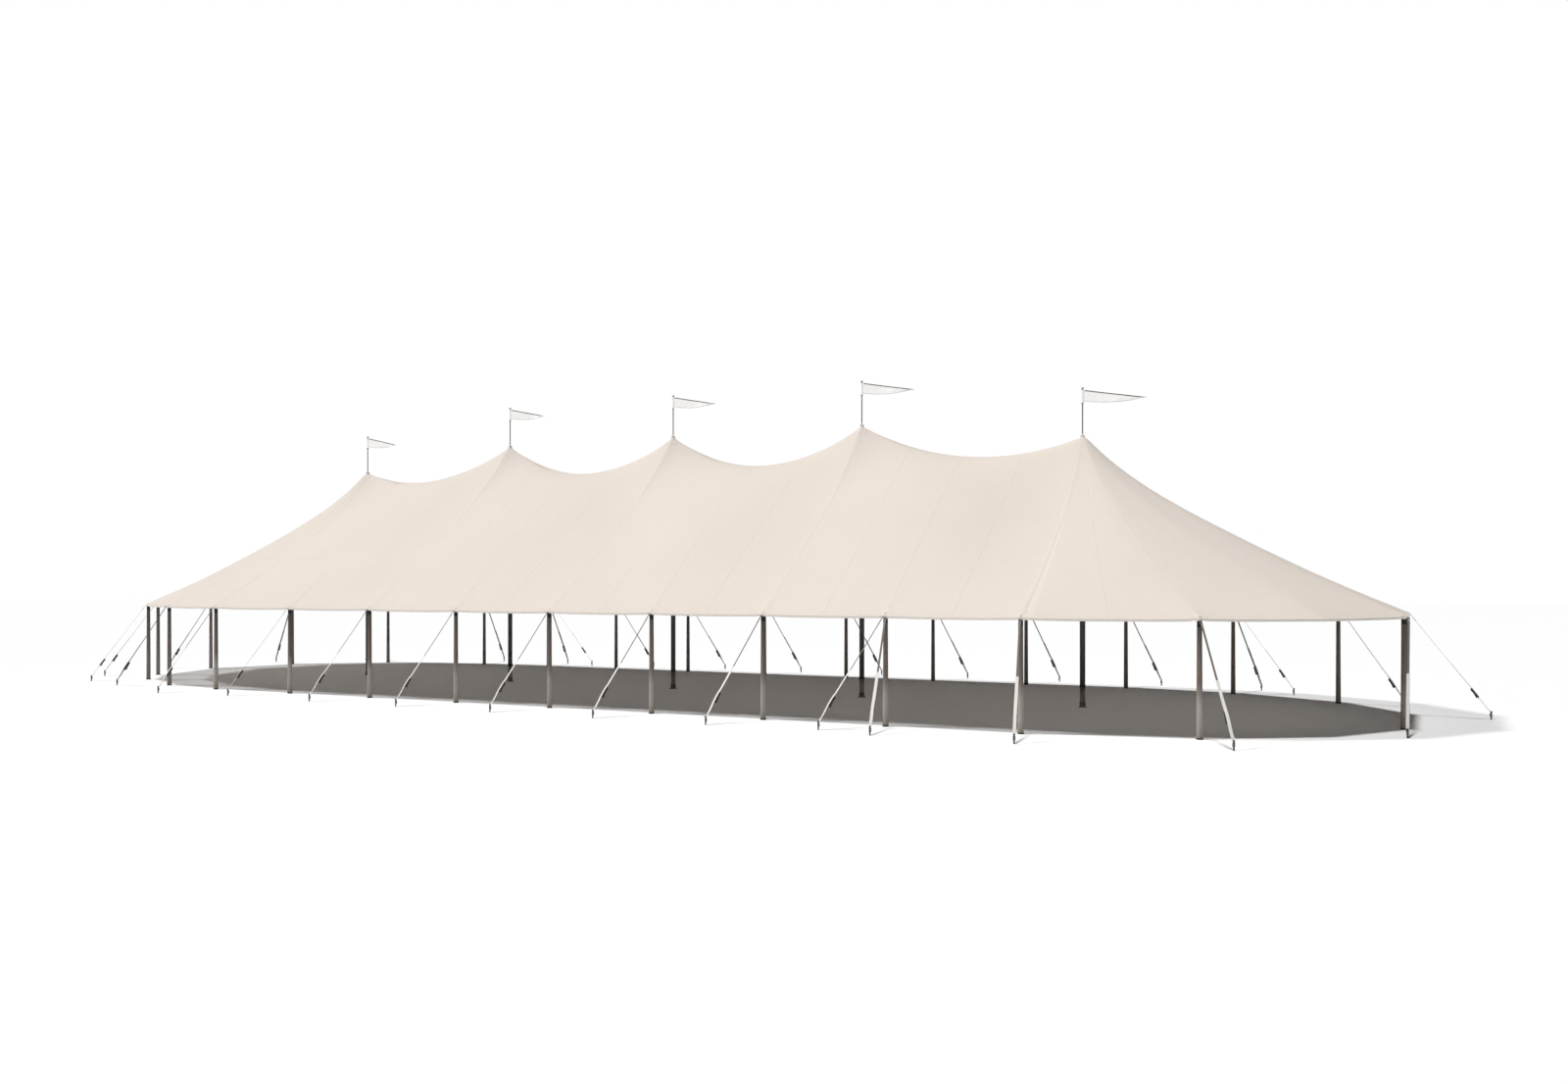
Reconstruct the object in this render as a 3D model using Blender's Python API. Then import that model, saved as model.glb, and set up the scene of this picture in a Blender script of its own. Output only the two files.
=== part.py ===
# Sailcloth pole tent with five masts, as a model at half the real size.
# The frame stands on the ground at the tent's middle, with X along the ridge and Y across it.
import math

import bmesh
import bpy
from mathutils import Vector
from mathutils.bvhtree import BVHTree

# Every size below is the real one in feet or metres, times the model's scale.
SCALE = 0.5
FOOT = 0.3048 * SCALE
METRE = 1.0 * SCALE
GAP = 0.0003
SAME_POINT = 0.00005
SHARP_ANGLE = math.radians(35)

# Plan: masts every 20 ft, side poles every 10 ft, and an oval end beyond each outer mast.
BAY = 10 * FOOT
MAST_BAY = 2 * BAY
MAST_COUNT = 5
SIDE_BAYS = 2 * (MAST_COUNT - 1)
HALF_WIDTH = 20 * FOOT
END_REACH = 25 * FOOT
OUTER_MAST_X = (MAST_COUNT - 1) / 2 * MAST_BAY

# Turns of the eave's corners round each oval end, from the tent's line, in degrees.
# The left end's are those of the right end turned half round.
RIGHT_TURNS = (-62.5, -41.0, -16.5, 13.0, 39.5, 66.0)
LEFT_TURNS = (-58.0, -28.0, 1.0, 30.0, 48.0, 71.0)
END_FACETS = len(RIGHT_TURNS) + 1
OPEN_CORNER = -41.0

# Heights of the canopy.
EAVE = 8 * FOOT
INNER_PEAK = 24.7 * FOOT
OUTER_PEAK = 22.7 * FOOT
RIDGE_LOW = 21.5 * FOOT

# How the cloth rises steeply close to each peak and runs straight below it.
INNER_CUSP = 0.14
OUTER_CUSP = 0.19
CUSP_RATE = 7.3
PEAK_ROUND = 0.10 * METRE
RIDGE_ROUND = 0.90 * METRE
EDGE_BEYOND_POLE = 0.075 * METRE
CLOTH_THICK = 0.012 * METRE
PEAK_HOLE = 0.036 * METRE

# Steps of the cloth's mesh, from the ridge to the eave and along one bay.
ROWS = (0.0, 0.035, 0.09, 0.17, 0.29, 0.47, 0.72, 1.0)
BAY_COLUMNS = 8
FACET_COLUMNS = 2

# Poles.
SIDE_POLE_FOOT_R = 0.064 * METRE
SIDE_POLE_TOP_R = 0.050 * METRE
SIDE_POLE_SIDES = 12
MAST_R = 0.070 * METRE
MAST_HEAD_R = 0.040 * METRE
MAST_HEAD_LENGTH = 0.10 * METRE
MAST_PIN_R = 0.024 * METRE
MAST_PIN_OVER_PEAK = 0.03 * METRE
MAST_SIDES = 16
SEAT_SAMPLES = 24

# Flagpoles and pennants.
FLAGPOLE_HEIGHT = 1.22 * METRE
FLAGPOLE_R = 0.016 * METRE
FLAGPOLE_BASE_R = 0.060 * METRE
FLAGPOLE_BASE_HEIGHT = 0.05 * METRE
FLAGPOLE_BASE_RIM = 0.015 * METRE
FLAGPOLE_SIDES = 10
FINIAL_R = 0.034 * METRE
FINIAL_STEPS = 5
PENNANT_HOIST = 0.34 * METRE
PENNANT_LENGTH = 1.72 * METRE
PENNANT_DROOP = math.radians(11.5)
PENNANT_THICK = 0.010 * METRE
PENNANT_WAVE = 0.045 * METRE
PENNANT_WAVES = 0.8
PENNANT_HEADING = math.radians(-12.6)
PENNANT_STEPS = 8
PENNANT_SHOULDER = 0.02 * METRE
PENNANT_TIP = 0.015 * METRE
SLEEVE_PLAY = 0.002 * METRE
SLEEVE_WALL = 0.010 * METRE
SLEEVE_SIDES = 12
STOP_RING_R = 0.030 * METRE
STOP_RING_HEIGHT = 0.025 * METRE

# Webbing round the eave, and the guys with their ratchets and stakes.
BAND_WIDE = 0.014 * METRE
BAND_TALL = 0.050 * METRE
BAND_BITE = 0.8
GUY_RUN = 1.55 * METRE
TIP_POLES = ("right_3", "left_3")
END_STAKE_X = 21.38 * METRE
GUY_WIDE = 0.045 * METRE
GUY_THICK = 0.012 * METRE
TWIN_GUY_STEP = 0.030 * METRE
RATCHET_AT = 0.80
RATCHET_SIZE = Vector((0.070, 0.055, 0.210)) * METRE
STAKE_R = 0.021 * METRE
STAKE_HEIGHT = 0.20 * METRE
STAKE_SIDES = 8
STRAP_ON_STAKE = 0.75

# How far each guy leans from straight out, with the clock, in degrees. A pole with two leans has two guys.
SIDE_LEAN = (27,)
GUY_LEANS = {
    "front_1": (14,),
    "front_2": (38,),
    "front_8": (-9, 43),
    "front_9": (-5,),
    "right_1": (-8,),
    "right_2": (74,),
    "right_3": (18,),
    "right_4": (60,),
    "right_5": (4, 60),
    "back_8": (-9, 53),
    "back_9": (-5,),
    "left_1": (-17,),
    "left_2": (-13,),
    "left_3": (-18,),
    "left_4": (-13,),
    "left_5": (3,),
    "left_6": (50,),
}

# Colours, roughness and metallic values.
IVORY_CLOTH = ((0.84, 0.77, 0.70), 0.75, 0.0)
WHITE_CLOTH = ((0.90, 0.90, 0.89), 0.75, 0.0)
WEATHERED_WOOD = ((0.16, 0.13, 0.115), 0.65, 0.0)
DARK_WOOD = ((0.045, 0.040, 0.038), 0.60, 0.0)
PALE_WEBBING = ((0.75, 0.73, 0.70), 0.80, 0.0)
GREY_METAL = ((0.55, 0.55, 0.56), 0.40, 1.0)


def clear_scene():
    for old in list(bpy.data.objects):
        bpy.data.objects.remove(old, do_unlink=True)


def material(name, look):
    """One Principled material for one sub-part."""
    colour, roughness, metallic = look
    made = bpy.data.materials.new(name)
    made.use_nodes = True
    shader = made.node_tree.nodes["Principled BSDF"]
    shader.inputs["Base Color"].default_value = (*colour, 1.0)
    shader.inputs["Roughness"].default_value = roughness
    shader.inputs["Metallic"].default_value = metallic
    made.diffuse_color = (*colour, 1.0)
    return made


def object_from(bm, name, look, smooth=True):
    """Turn a bmesh into a named object with a material."""
    bmesh.ops.recalc_face_normals(bm, faces=bm.faces)
    mesh = bpy.data.meshes.new(name)
    bm.to_mesh(mesh)
    bm.free()
    if smooth:
        mesh.shade_smooth()
        mesh.set_sharp_from_angle(angle=SHARP_ANGLE)
    mesh.materials.append(material(name, look))
    made = bpy.data.objects.new(name, mesh)
    bpy.context.collection.objects.link(made)
    return made


def helper(made):
    """Keep an object that only cuts or joins others out of the model."""
    made.hide_render = True
    made.display_type = "WIRE"
    return made


def boolean(target, other, operation):
    change = target.modifiers.new(operation.title(), "BOOLEAN")
    change.object = helper(other)
    change.operation = operation
    change.solver = "EXACT"


def turned(name, profile, sides, look):
    """A round piece from a profile of (radius, height) points that starts and ends on its axis."""
    bm = bmesh.new()
    points = [bm.verts.new((radius, 0.0, height)) for radius, height in profile]
    edges = [bm.edges.new(pair) for pair in zip(points, points[1:])]
    bmesh.ops.spin(bm, geom=points + edges, axis=(0, 0, 1), cent=(0, 0, 0), angle=math.tau, steps=sides)
    bmesh.ops.remove_doubles(bm, verts=bm.verts, dist=SAME_POINT)
    return object_from(bm, name, look)


def mast_places():
    """X and peak height of each mast."""
    places = []
    for i in range(MAST_COUNT):
        outer = i in (0, MAST_COUNT - 1)
        places.append(((i - (MAST_COUNT - 1) / 2) * MAST_BAY, OUTER_PEAK if outer else INNER_PEAK))
    return places


def oval_point(turn):
    """A point of the right end's oval."""
    t = math.radians(turn)
    return Vector((OUTER_MAST_X + END_REACH * math.cos(t), HALF_WIDTH * math.sin(t)))


def corner_places():
    """(pole, point) of every corner of the eave, against the clock from the near left."""
    places = []
    for i in range(SIDE_BAYS + 1):
        places.append((f"front_{i + 1}", Vector((i * BAY - OUTER_MAST_X, -HALF_WIDTH))))
    number = 0
    for turn in RIGHT_TURNS:
        # The open corner has no pole, as the cloth's own edge carries it.
        number += turn != OPEN_CORNER
        places.append((None if turn == OPEN_CORNER else f"right_{number}", oval_point(turn)))
    for i in range(SIDE_BAYS + 1):
        places.append((f"back_{i + 1}", Vector((OUTER_MAST_X - i * BAY, HALF_WIDTH))))
    for i, turn in enumerate(LEFT_TURNS):
        places.append((f"left_{i + 1}", -oval_point(turn)))
    return places


def outward_normal(a, b):
    """The way out of a plan that runs against the clock, square to its side from a to b."""
    along = (b - a).normalized()
    return Vector((along.y, -along.x))


def outward_at(points, i, beyond):
    """The i-th corner of a closed plan, moved out so that both its sides move by the same distance."""
    first = outward_normal(points[i - 1], points[i])
    second = outward_normal(points[i], points[(i + 1) % len(points)])
    out = (first + second).normalized()
    return points[i] + out * (beyond / out.dot(first))


def offset_plan(beyond):
    points = [point for _, point in corner_places()]
    return [outward_at(points, i, beyond) for i in range(len(points))]


def ridge_height(x):
    """Height of the cloth over the masts' line, which hangs in a shallow curve between two peaks."""
    places = mast_places()
    for (x0, h0), (x1, h1) in zip(places, places[1:]):
        if x <= x1 + GAP:
            t = min(1.0, max(0.0, (x - x0) / (x1 - x0)))
            straight = h0 + (h1 - h0) * t
            return straight - 4 * t * (1 - t) * ((h0 + h1) / 2 - RIDGE_LOW)
    return places[-1][1]


def slope_top(x):
    """Where the straight lower part of the slope would meet the masts' line, lower towards the ends."""
    inner = EAVE + (INNER_PEAK - EAVE) * (1 - INNER_CUSP)
    outer = EAVE + (OUTER_PEAK - EAVE) * (1 - OUTER_CUSP)
    t = min(1.0, max(0.0, (abs(x) - MAST_BAY) / (OUTER_MAST_X - MAST_BAY)))
    return inner + (outer - inner) * t * t * (3 - 2 * t)


def rounded(distance, full, radius):
    """Distance as a share of the full one, with its start rounded off."""
    return (math.hypot(distance, radius) - radius) / (math.hypot(full, radius) - radius)


def cloth_height(share, top, straight_top):
    """Height of the cloth at a share of the way from the masts' line to the eave."""
    cusp = (math.exp(-CUSP_RATE * share) - math.exp(-CUSP_RATE)) / (1 - math.exp(-CUSP_RATE))
    return EAVE + (straight_top - EAVE) * (1 - share) + (top - straight_top) * cusp


def bay_point(x, share, side):
    """A point of the cloth between two masts, on the near side for -1 and the far side for 1."""
    edge = HALF_WIDTH + EDGE_BEYOND_POLE
    along = math.sin(math.pi * (x + OUTER_MAST_X) / MAST_BAY) ** 2
    radius = PEAK_ROUND + (RIDGE_ROUND - PEAK_ROUND) * along
    y = side * share * edge
    height = cloth_height(rounded(abs(y), edge, radius), ridge_height(x), slope_top(x))
    return Vector((x, y, height))


def end_point(corner, share):
    """A point of the right end's cloth, at a share of the way from the peak to a point of the eave."""
    edge = HALF_WIDTH + EDGE_BEYOND_POLE
    height = cloth_height(rounded(share * edge, edge, PEAK_ROUND), OUTER_PEAK, slope_top(OUTER_MAST_X))
    return Vector((OUTER_MAST_X + GAP / 2 + share * (corner.x - OUTER_MAST_X), share * corner.y, height))


def cloth_solid(name, grid):
    """A closed sheet from rows of points on its upper face."""
    bm = bmesh.new()
    drop = Vector((0, 0, CLOTH_THICK))
    upper = [[bm.verts.new(point) for point in row] for row in grid]
    lower = [[bm.verts.new(point - drop) for point in row] for row in grid]
    rows, columns = len(grid), len(grid[0])
    for i in range(rows - 1):
        for j in range(columns - 1):
            bm.faces.new((upper[i][j], upper[i + 1][j], upper[i + 1][j + 1], upper[i][j + 1]))
            bm.faces.new((lower[i][j], lower[i][j + 1], lower[i + 1][j + 1], lower[i + 1][j]))
    rim = [(i, 0) for i in range(rows)] + [(rows - 1, j) for j in range(1, columns)]
    rim += [(i, columns - 1) for i in range(rows - 2, -1, -1)] + [(0, j) for j in range(columns - 2, 0, -1)]
    for (a, b), (c, d) in zip(rim, rim[1:] + rim[:1]):
        bm.faces.new((upper[a][b], upper[c][d], lower[c][d], lower[a][b]))
    return object_from(bm, name, IVORY_CLOTH)


def make_bay(name, x0, x1):
    """The cloth between two masts, from the near eave over the ridge to the far eave."""
    grid = []
    for k in range(BAY_COLUMNS + 1):
        t = (1 - math.cos(math.pi * k / BAY_COLUMNS)) / 2
        x = x0 + GAP / 2 + (x1 - x0 - GAP) * t
        near = [bay_point(x, share, -1) for share in reversed(ROWS)]
        far = [bay_point(x, share, 1) for share in ROWS[1:]]
        grid.append(near + far)
    made = cloth_solid(name, grid)
    for x in (x0, x1):
        cutter = turned(
            f"{name}_peak_hole_{x:.2f}",
            ((0, 0), (PEAK_HOLE, 0), (PEAK_HOLE, INNER_PEAK + METRE), (0, INNER_PEAK + METRE)),
            MAST_SIDES,
            IVORY_CLOTH,
        )
        cutter.location.x = x
        boolean(made, cutter, "DIFFERENCE")
    return made


def end_eave(start, flip):
    """Points of an end's eave from its first corner on, with the left end's turned half round."""
    plan = offset_plan(EDGE_BEYOND_POLE)
    corners = [flip * plan[(start + i) % len(plan)] for i in range(END_FACETS + 1)]
    corners[0].x = OUTER_MAST_X
    corners[-1].x = OUTER_MAST_X
    points = []
    for a, b in zip(corners, corners[1:]):
        points += [a.lerp(b, k / FACET_COLUMNS) for k in range(FACET_COLUMNS)]
    return points + [corners[-1]]


def make_end(name, start, flip):
    """The cloth beyond an outer mast, from the corner where its eave starts. The left end's flip is -1."""
    inner = PEAK_HOLE / HALF_WIDTH
    shares = [inner] + list(ROWS[1:])
    grid = []
    for corner in end_eave(start, flip):
        row = [end_point(corner, share) for share in shares]
        grid.append([Vector((flip * p.x, flip * p.y, p.z)) for p in row])
    return cloth_solid(name, grid)


def make_canopy():
    """All the sections of the canopy, laced edge to edge at the masts."""
    masts = mast_places()
    sections = [make_end("sailcloth_left_end", 2 * SIDE_BAYS + END_FACETS, -1)]
    for i in range(MAST_COUNT - 1):
        sections.append(make_bay(f"sailcloth_bay_{i + 1}", masts[i][0], masts[i + 1][0]))
    sections.append(make_end("sailcloth_right_end", SIDE_BAYS, 1))
    return sections


def undersides(sections):
    """One search tree for each section of cloth, to seat what carries it."""
    bpy.context.view_layer.update()
    graph = bpy.context.evaluated_depsgraph_get()
    return [BVHTree.FromObject(section, graph) for section in sections]


def cloth_over(trees, x, y):
    """Height of the cloth's lower face above a point of the ground."""
    found = []
    for tree in trees:
        hit = tree.ray_cast(Vector((x, y, 0)), Vector((0, 0, 1)))[0]
        if hit is not None:
            found.append(hit.z)
    return min(found, default=None)


def lowest_cloth(trees, x, y, radius):
    """Lowest point of the cloth's lower face over a circle round (x, y)."""
    heights = []
    for k in range(SEAT_SAMPLES):
        turn = math.tau * (k + 0.5) / SEAT_SAMPLES
        heights.append(cloth_over(trees, x + radius * math.cos(turn), y + radius * math.sin(turn)))
    return min(height for height in heights if height is not None)


def make_side_poles(trees):
    """Tapered wooden poles that stand on the ground and end just under the cloth."""
    for name, point in corner_places():
        if name is None:
            continue
        top = lowest_cloth(trees, point.x, point.y, SIDE_POLE_TOP_R) - GAP
        bm = bmesh.new()
        bmesh.ops.create_cone(
            bm,
            cap_ends=True,
            segments=SIDE_POLE_SIDES,
            radius1=SIDE_POLE_FOOT_R,
            radius2=SIDE_POLE_TOP_R,
            depth=top,
        )
        bmesh.ops.translate(bm, verts=bm.verts, vec=(0, 0, top / 2))
        pole = object_from(bm, f"side_pole_{name}", WEATHERED_WOOD)
        pole.location = (point.x, point.y, 0)


def pin_top(peak):
    return peak + MAST_PIN_OVER_PEAK


def make_masts(trees):
    """Centre poles with a tapered head under the cloth and a pin that comes out of the peak."""
    for i, (x, peak) in enumerate(mast_places()):
        shoulder = lowest_cloth(trees, x, 0, MAST_R) - GAP
        head = lowest_cloth(trees, x, 0, MAST_HEAD_R) - GAP
        shoulder = min(shoulder, head - MAST_HEAD_LENGTH)
        profile = (
            (0, 0),
            (MAST_R, 0),
            (MAST_R, shoulder),
            (MAST_HEAD_R, head),
            (MAST_PIN_R, head),
            (MAST_PIN_R, pin_top(peak)),
            (0, pin_top(peak)),
        )
        mast = turned(f"centre_pole_{i + 1}", profile, MAST_SIDES, DARK_WOOD)
        mast.location.x = x


def sleeve_foot(peak):
    """Height of the ring that a pennant's sleeve turns on."""
    return pin_top(peak) + GAP + FLAGPOLE_HEIGHT - FINIAL_R - PENNANT_HOIST - 2 * GAP


def make_flagpoles():
    """Thin poles on the masts' pins, with a flared base, a stop ring and a ball on top."""
    for i, (x, peak) in enumerate(mast_places()):
        foot = pin_top(peak) + GAP
        ring = sleeve_foot(peak)
        ball = foot + FLAGPOLE_HEIGHT
        profile = [
            (0, foot),
            (FLAGPOLE_BASE_R, foot),
            (FLAGPOLE_BASE_R, foot + FLAGPOLE_BASE_RIM),
            (FLAGPOLE_R, foot + FLAGPOLE_BASE_HEIGHT),
            (FLAGPOLE_R, ring - STOP_RING_HEIGHT),
            (STOP_RING_R, ring - STOP_RING_HEIGHT),
            (STOP_RING_R, ring),
            (FLAGPOLE_R, ring),
        ]
        lowest = math.asin(FLAGPOLE_R / FINIAL_R)
        for k in range(FINIAL_STEPS):
            turn = lowest + (math.pi - lowest) * k / FINIAL_STEPS
            profile.append((FINIAL_R * math.sin(turn), ball - FINIAL_R * math.cos(turn)))
        profile.append((0, ball + FINIAL_R))
        pole = turned(f"flagpole_{i + 1}", profile, FLAGPOLE_SIDES, GREY_METAL)
        pole.location.x = x


def pennant_blade(name):
    """The cloth of a pennant: a long triangle with a slight wave, its hoist beside the sleeve."""
    bm = bmesh.new()
    start = FLAGPOLE_R + SLEEVE_PLAY + SLEEVE_WALL / 2
    sides = []
    for side in (-0.5, 0.5):
        rows = []
        for k in range(PENNANT_STEPS + 1):
            t = k / PENNANT_STEPS
            x = start + (PENNANT_LENGTH - start) * t
            wave = PENNANT_WAVE * math.sin(math.tau * PENNANT_WAVES * t) * t
            top = PENNANT_HOIST - math.tan(PENNANT_DROOP) * x
            deep = max((PENNANT_HOIST - PENNANT_SHOULDER) * (1 - t), PENNANT_TIP)
            y = wave + side * PENNANT_THICK
            rows.append((bm.verts.new((x, y, top)), bm.verts.new((x, y, top - deep))))
        sides.append(rows)
    for front, back in zip(*[zip(rows, rows[1:]) for rows in sides]):
        (a, b), (c, d) = front
        (e, f), (g, h) = back
        bm.faces.new((a, b, d, c))
        bm.faces.new((e, g, h, f))
        bm.faces.new((a, c, g, e))
        bm.faces.new((b, f, h, d))
    for k in (0, -1):
        (a, b), (c, d) = sides[0][k], sides[1][k]
        bm.faces.new((a, c, d, b))
    return object_from(bm, name, WHITE_CLOTH, smooth=False)


def make_pennants():
    """Pennants whose sleeves turn freely on the flagpoles, each with its origin on that axis."""
    inner = FLAGPOLE_R + SLEEVE_PLAY
    for i, (x, peak) in enumerate(mast_places()):
        name = f"pennant_{i + 1}"
        pennant = pennant_blade(name)
        sleeve = turned(
            f"{name}_sleeve",
            ((0, 0), (inner + SLEEVE_WALL, 0), (inner + SLEEVE_WALL, PENNANT_HOIST), (0, PENNANT_HOIST)),
            SLEEVE_SIDES,
            WHITE_CLOTH,
        )
        bore = turned(
            f"{name}_bore",
            ((0, -METRE), (inner, -METRE), (inner, METRE), (0, METRE)),
            SLEEVE_SIDES,
            WHITE_CLOTH,
        )
        boolean(pennant, sleeve, "UNION")
        boolean(pennant, bore, "DIFFERENCE")
        for piece in (pennant, sleeve, bore):
            piece.location = (x, 0, sleeve_foot(peak) + GAP)
            piece.rotation_euler.z = PENNANT_HEADING


def box_between(bm, start, end, wide, thick):
    """A flat strap from start to end, lying wide side out."""
    along = (end - start).normalized()
    across = Vector((-along.y, along.x, 0)).normalized()
    out = along.cross(across)
    rings = []
    for point in (start, end):
        ring = []
        for a, b in ((-1, -1), (1, -1), (1, 1), (-1, 1)):
            ring.append(bm.verts.new(point + across * (a * wide / 2) + out * (b * thick / 2)))
        rings.append(ring)
    first, last = rings
    bm.faces.new(first[::-1])
    bm.faces.new(last)
    for a, b, c, d in zip(first, first[1:] + first[:1], last[1:] + last[:1], last):
        bm.faces.new((a, b, c, d))


def strap_corners(way):
    """Corners of a strap's end seen from above, round its middle, for a guy that runs out that way."""
    drop = EAVE - CLOTH_THICK / 2 - STRAP_ON_STAKE * STAKE_HEIGHT
    along = Vector((*(way * GUY_RUN), -drop)).normalized()
    across = Vector((-along.y, along.x, 0)).normalized()
    half_wide = across * GUY_WIDE / 2
    half_thick = along.cross(across) * GUY_THICK / 2
    return [(half_wide * a + half_thick * b).to_2d() for a in (-1, 1) for b in (-1, 1)]


def guy_lines():
    """(side, top, foot) of every guy."""
    inner = offset_plan(EDGE_BEYOND_POLE + GAP)
    lines = []
    for i, (name, _) in enumerate(corner_places()):
        if name is None:
            continue
        after = inner[(i + 1) % len(inner)]
        normals = (outward_normal(inner[i - 1], inner[i]), outward_normal(inner[i], after))
        out = (normals[0] + normals[1]).normalized()
        aside = Vector((out.y, -out.x))
        leans = GUY_LEANS.get(name, SIDE_LEAN)
        for order, lean in enumerate(leans):
            step = TWIN_GUY_STEP * (2 * order - 1) if len(leans) == 2 else 0.0
            way = out * math.cos(math.radians(lean)) + aside * math.sin(math.radians(lean))
            start = 0.0
            for corner in strap_corners(way):
                held = [(1 - BAND_BITE) * BAND_WIDE - (aside * step + corner).dot(n) for n in normals]
                start = max(start, min(held) / out.dot(normals[0]))
            top = inner[i] + out * start + aside * step
            # The outermost stake of each end stands equally far from the tent's middle.
            run = (END_STAKE_X - abs(top.x)) / abs(way.x) if name in TIP_POLES else GUY_RUN
            foot = top + way * run
            lines.append((name.split("_")[0], Vector((*top, EAVE - CLOTH_THICK / 2)), Vector((*foot, 0.0))))
    return lines


def make_band(name, indices, short):
    """The webbing round one side's eave, just outside the cloth, ending short of its corner poles."""
    inner = offset_plan(EDGE_BEYOND_POLE + GAP)
    outer = offset_plan(EDGE_BEYOND_POLE + GAP + BAND_WIDE)
    middle = EAVE - CLOTH_THICK / 2
    bm = bmesh.new()
    rings = []
    for order, i in enumerate(indices):
        pair = [inner[i].copy(), outer[i].copy()]
        if order in (0, len(indices) - 1):
            step = short if order == 0 else -short
            after = inner[indices[1]] if order == 0 else inner[indices[-1]]
            before = inner[indices[0]] if order == 0 else inner[indices[-2]]
            along = (after - before).normalized()
            pair = [point + along * step for point in pair]
        ring = []
        for point, level in ((pair[0], -1), (pair[1], -1), (pair[1], 1), (pair[0], 1)):
            ring.append(bm.verts.new((point.x, point.y, middle + level * BAND_TALL / 2)))
        rings.append(ring)
    bm.faces.new(rings[0][::-1])
    bm.faces.new(rings[-1])
    for first, last in zip(rings, rings[1:]):
        for a, b, c, d in zip(first, first[1:] + first[:1], last[1:] + last[:1], last):
            bm.faces.new((a, b, c, d))
    return object_from(bm, name, PALE_WEBBING, smooth=False)


def make_guys():
    """Guys, ratchets and stakes of each side, carried by that side's eave webbing."""
    count = len(corner_places())
    corner = SIDE_BAYS
    far = corner + END_FACETS
    sides = {
        "front": list(range(0, corner + 1)),
        "right": list(range(corner, far + 1)),
        "back": list(range(far, far + SIDE_BAYS + 1)),
        "left": [i % count for i in range(far + SIDE_BAYS, count + 1)],
    }
    lines = guy_lines()
    for side, indices in sides.items():
        short = GUY_WIDE if side in ("left", "right") else -GUY_WIDE / 2
        band = make_band(f"guys_{side}", indices, short)
        straps, ratchets, stakes = bmesh.new(), bmesh.new(), bmesh.new()
        for where, top, foot in lines:
            if where != side:
                continue
            head = foot + Vector((0, 0, STRAP_ON_STAKE * STAKE_HEIGHT))
            box_between(straps, top, head, GUY_WIDE, GUY_THICK)
            half = (head - top).normalized() * RATCHET_SIZE.z / 2
            middle = top.lerp(head, RATCHET_AT)
            box_between(ratchets, middle - half, middle + half, RATCHET_SIZE.x, RATCHET_SIZE.y)
            made = bmesh.ops.create_cone(
                stakes,
                cap_ends=True,
                segments=STAKE_SIDES,
                radius1=STAKE_R,
                radius2=STAKE_R,
                depth=STAKE_HEIGHT,
            )
            bmesh.ops.translate(stakes, verts=made["verts"], vec=foot + Vector((0, 0, STAKE_HEIGHT / 2)))
        boolean(band, object_from(straps, f"guys_{side}_straps", PALE_WEBBING, False), "UNION")
        boolean(band, object_from(ratchets, f"guys_{side}_ratchets", GREY_METAL, False), "UNION")
        boolean(band, object_from(stakes, f"guys_{side}_stakes", GREY_METAL, False), "UNION")


def main():
    clear_scene()
    trees = undersides(make_canopy())
    make_side_poles(trees)
    make_masts(trees)
    make_flagpoles()
    make_pennants()
    make_guys()


main()
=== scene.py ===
# Dresses the sailcloth tent: its cloth, poles, pennants and guys, and a plain studio round it.
import math

import bmesh
import bpy
import numpy as np
from mathutils import Matrix, Vector


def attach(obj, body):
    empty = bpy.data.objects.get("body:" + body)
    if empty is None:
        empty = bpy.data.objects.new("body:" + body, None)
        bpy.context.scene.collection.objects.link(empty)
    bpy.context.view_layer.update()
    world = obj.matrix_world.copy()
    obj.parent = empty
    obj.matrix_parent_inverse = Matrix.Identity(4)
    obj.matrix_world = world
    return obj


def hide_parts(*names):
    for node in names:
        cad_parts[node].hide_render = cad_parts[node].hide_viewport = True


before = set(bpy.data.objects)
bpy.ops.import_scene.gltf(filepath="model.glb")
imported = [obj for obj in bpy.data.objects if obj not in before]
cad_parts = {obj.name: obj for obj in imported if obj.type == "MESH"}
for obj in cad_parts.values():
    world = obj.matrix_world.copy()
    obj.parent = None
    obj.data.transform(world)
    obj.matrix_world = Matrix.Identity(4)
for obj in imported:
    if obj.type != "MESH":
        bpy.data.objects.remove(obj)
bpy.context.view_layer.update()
print("frame loaded,", len(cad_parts), "nodes")

foot = 0.3048 * 0.5  # a real foot, at half size

tent = {
    "bay": 10 * foot,
    "mastBay": 20 * foot,
    "outerMast": 40 * foot,
    "masts": 5,
    "polesASide": 9,
    "halfWidth": 20 * foot,
    "endReach": 25 * foot,
    "rightTurns": (-62.5, -41.0, -16.5, 13.0, 39.5, 66.0),
    "leftTurns": (-58.0, -28.0, 1.0, 30.0, 48.0, 71.0),
    "openTurn": -41.0,  # this corner of the eave has no pole and no guy
    "overhang": 0.0375,
    "eave": 8 * foot,
    "innerPeak": 24.7 * foot,
    "outerPeak": 22.7 * foot,
    "ridgeLow": 21.5 * foot,
    "innerCusp": 0.14,
    "outerCusp": 0.19,
    "cuspRate": 7.3,
    "peakRound": 0.05,
    "ridgeRound": 0.45,
    "gap": 0.0003,
}
edgeReach = tent["halfWidth"] + tent["overhang"]
mastNumbers, bayNumbers = range(tent["masts"]), range(tent["masts"] - 1)
masts = []  # (place along the ridge, height of the peak) of each centre pole
for i in mastNumbers:
    peak = tent["outerPeak" if i in (0, mastNumbers[-1]) else "innerPeak"]
    masts.append((i * tent["mastBay"] - tent["outerMast"], peak))


def inScene(name, data):
    made = bpy.data.objects.new(name, data)
    bpy.context.scene.collection.objects.link(made)
    return made


# camera first

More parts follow.
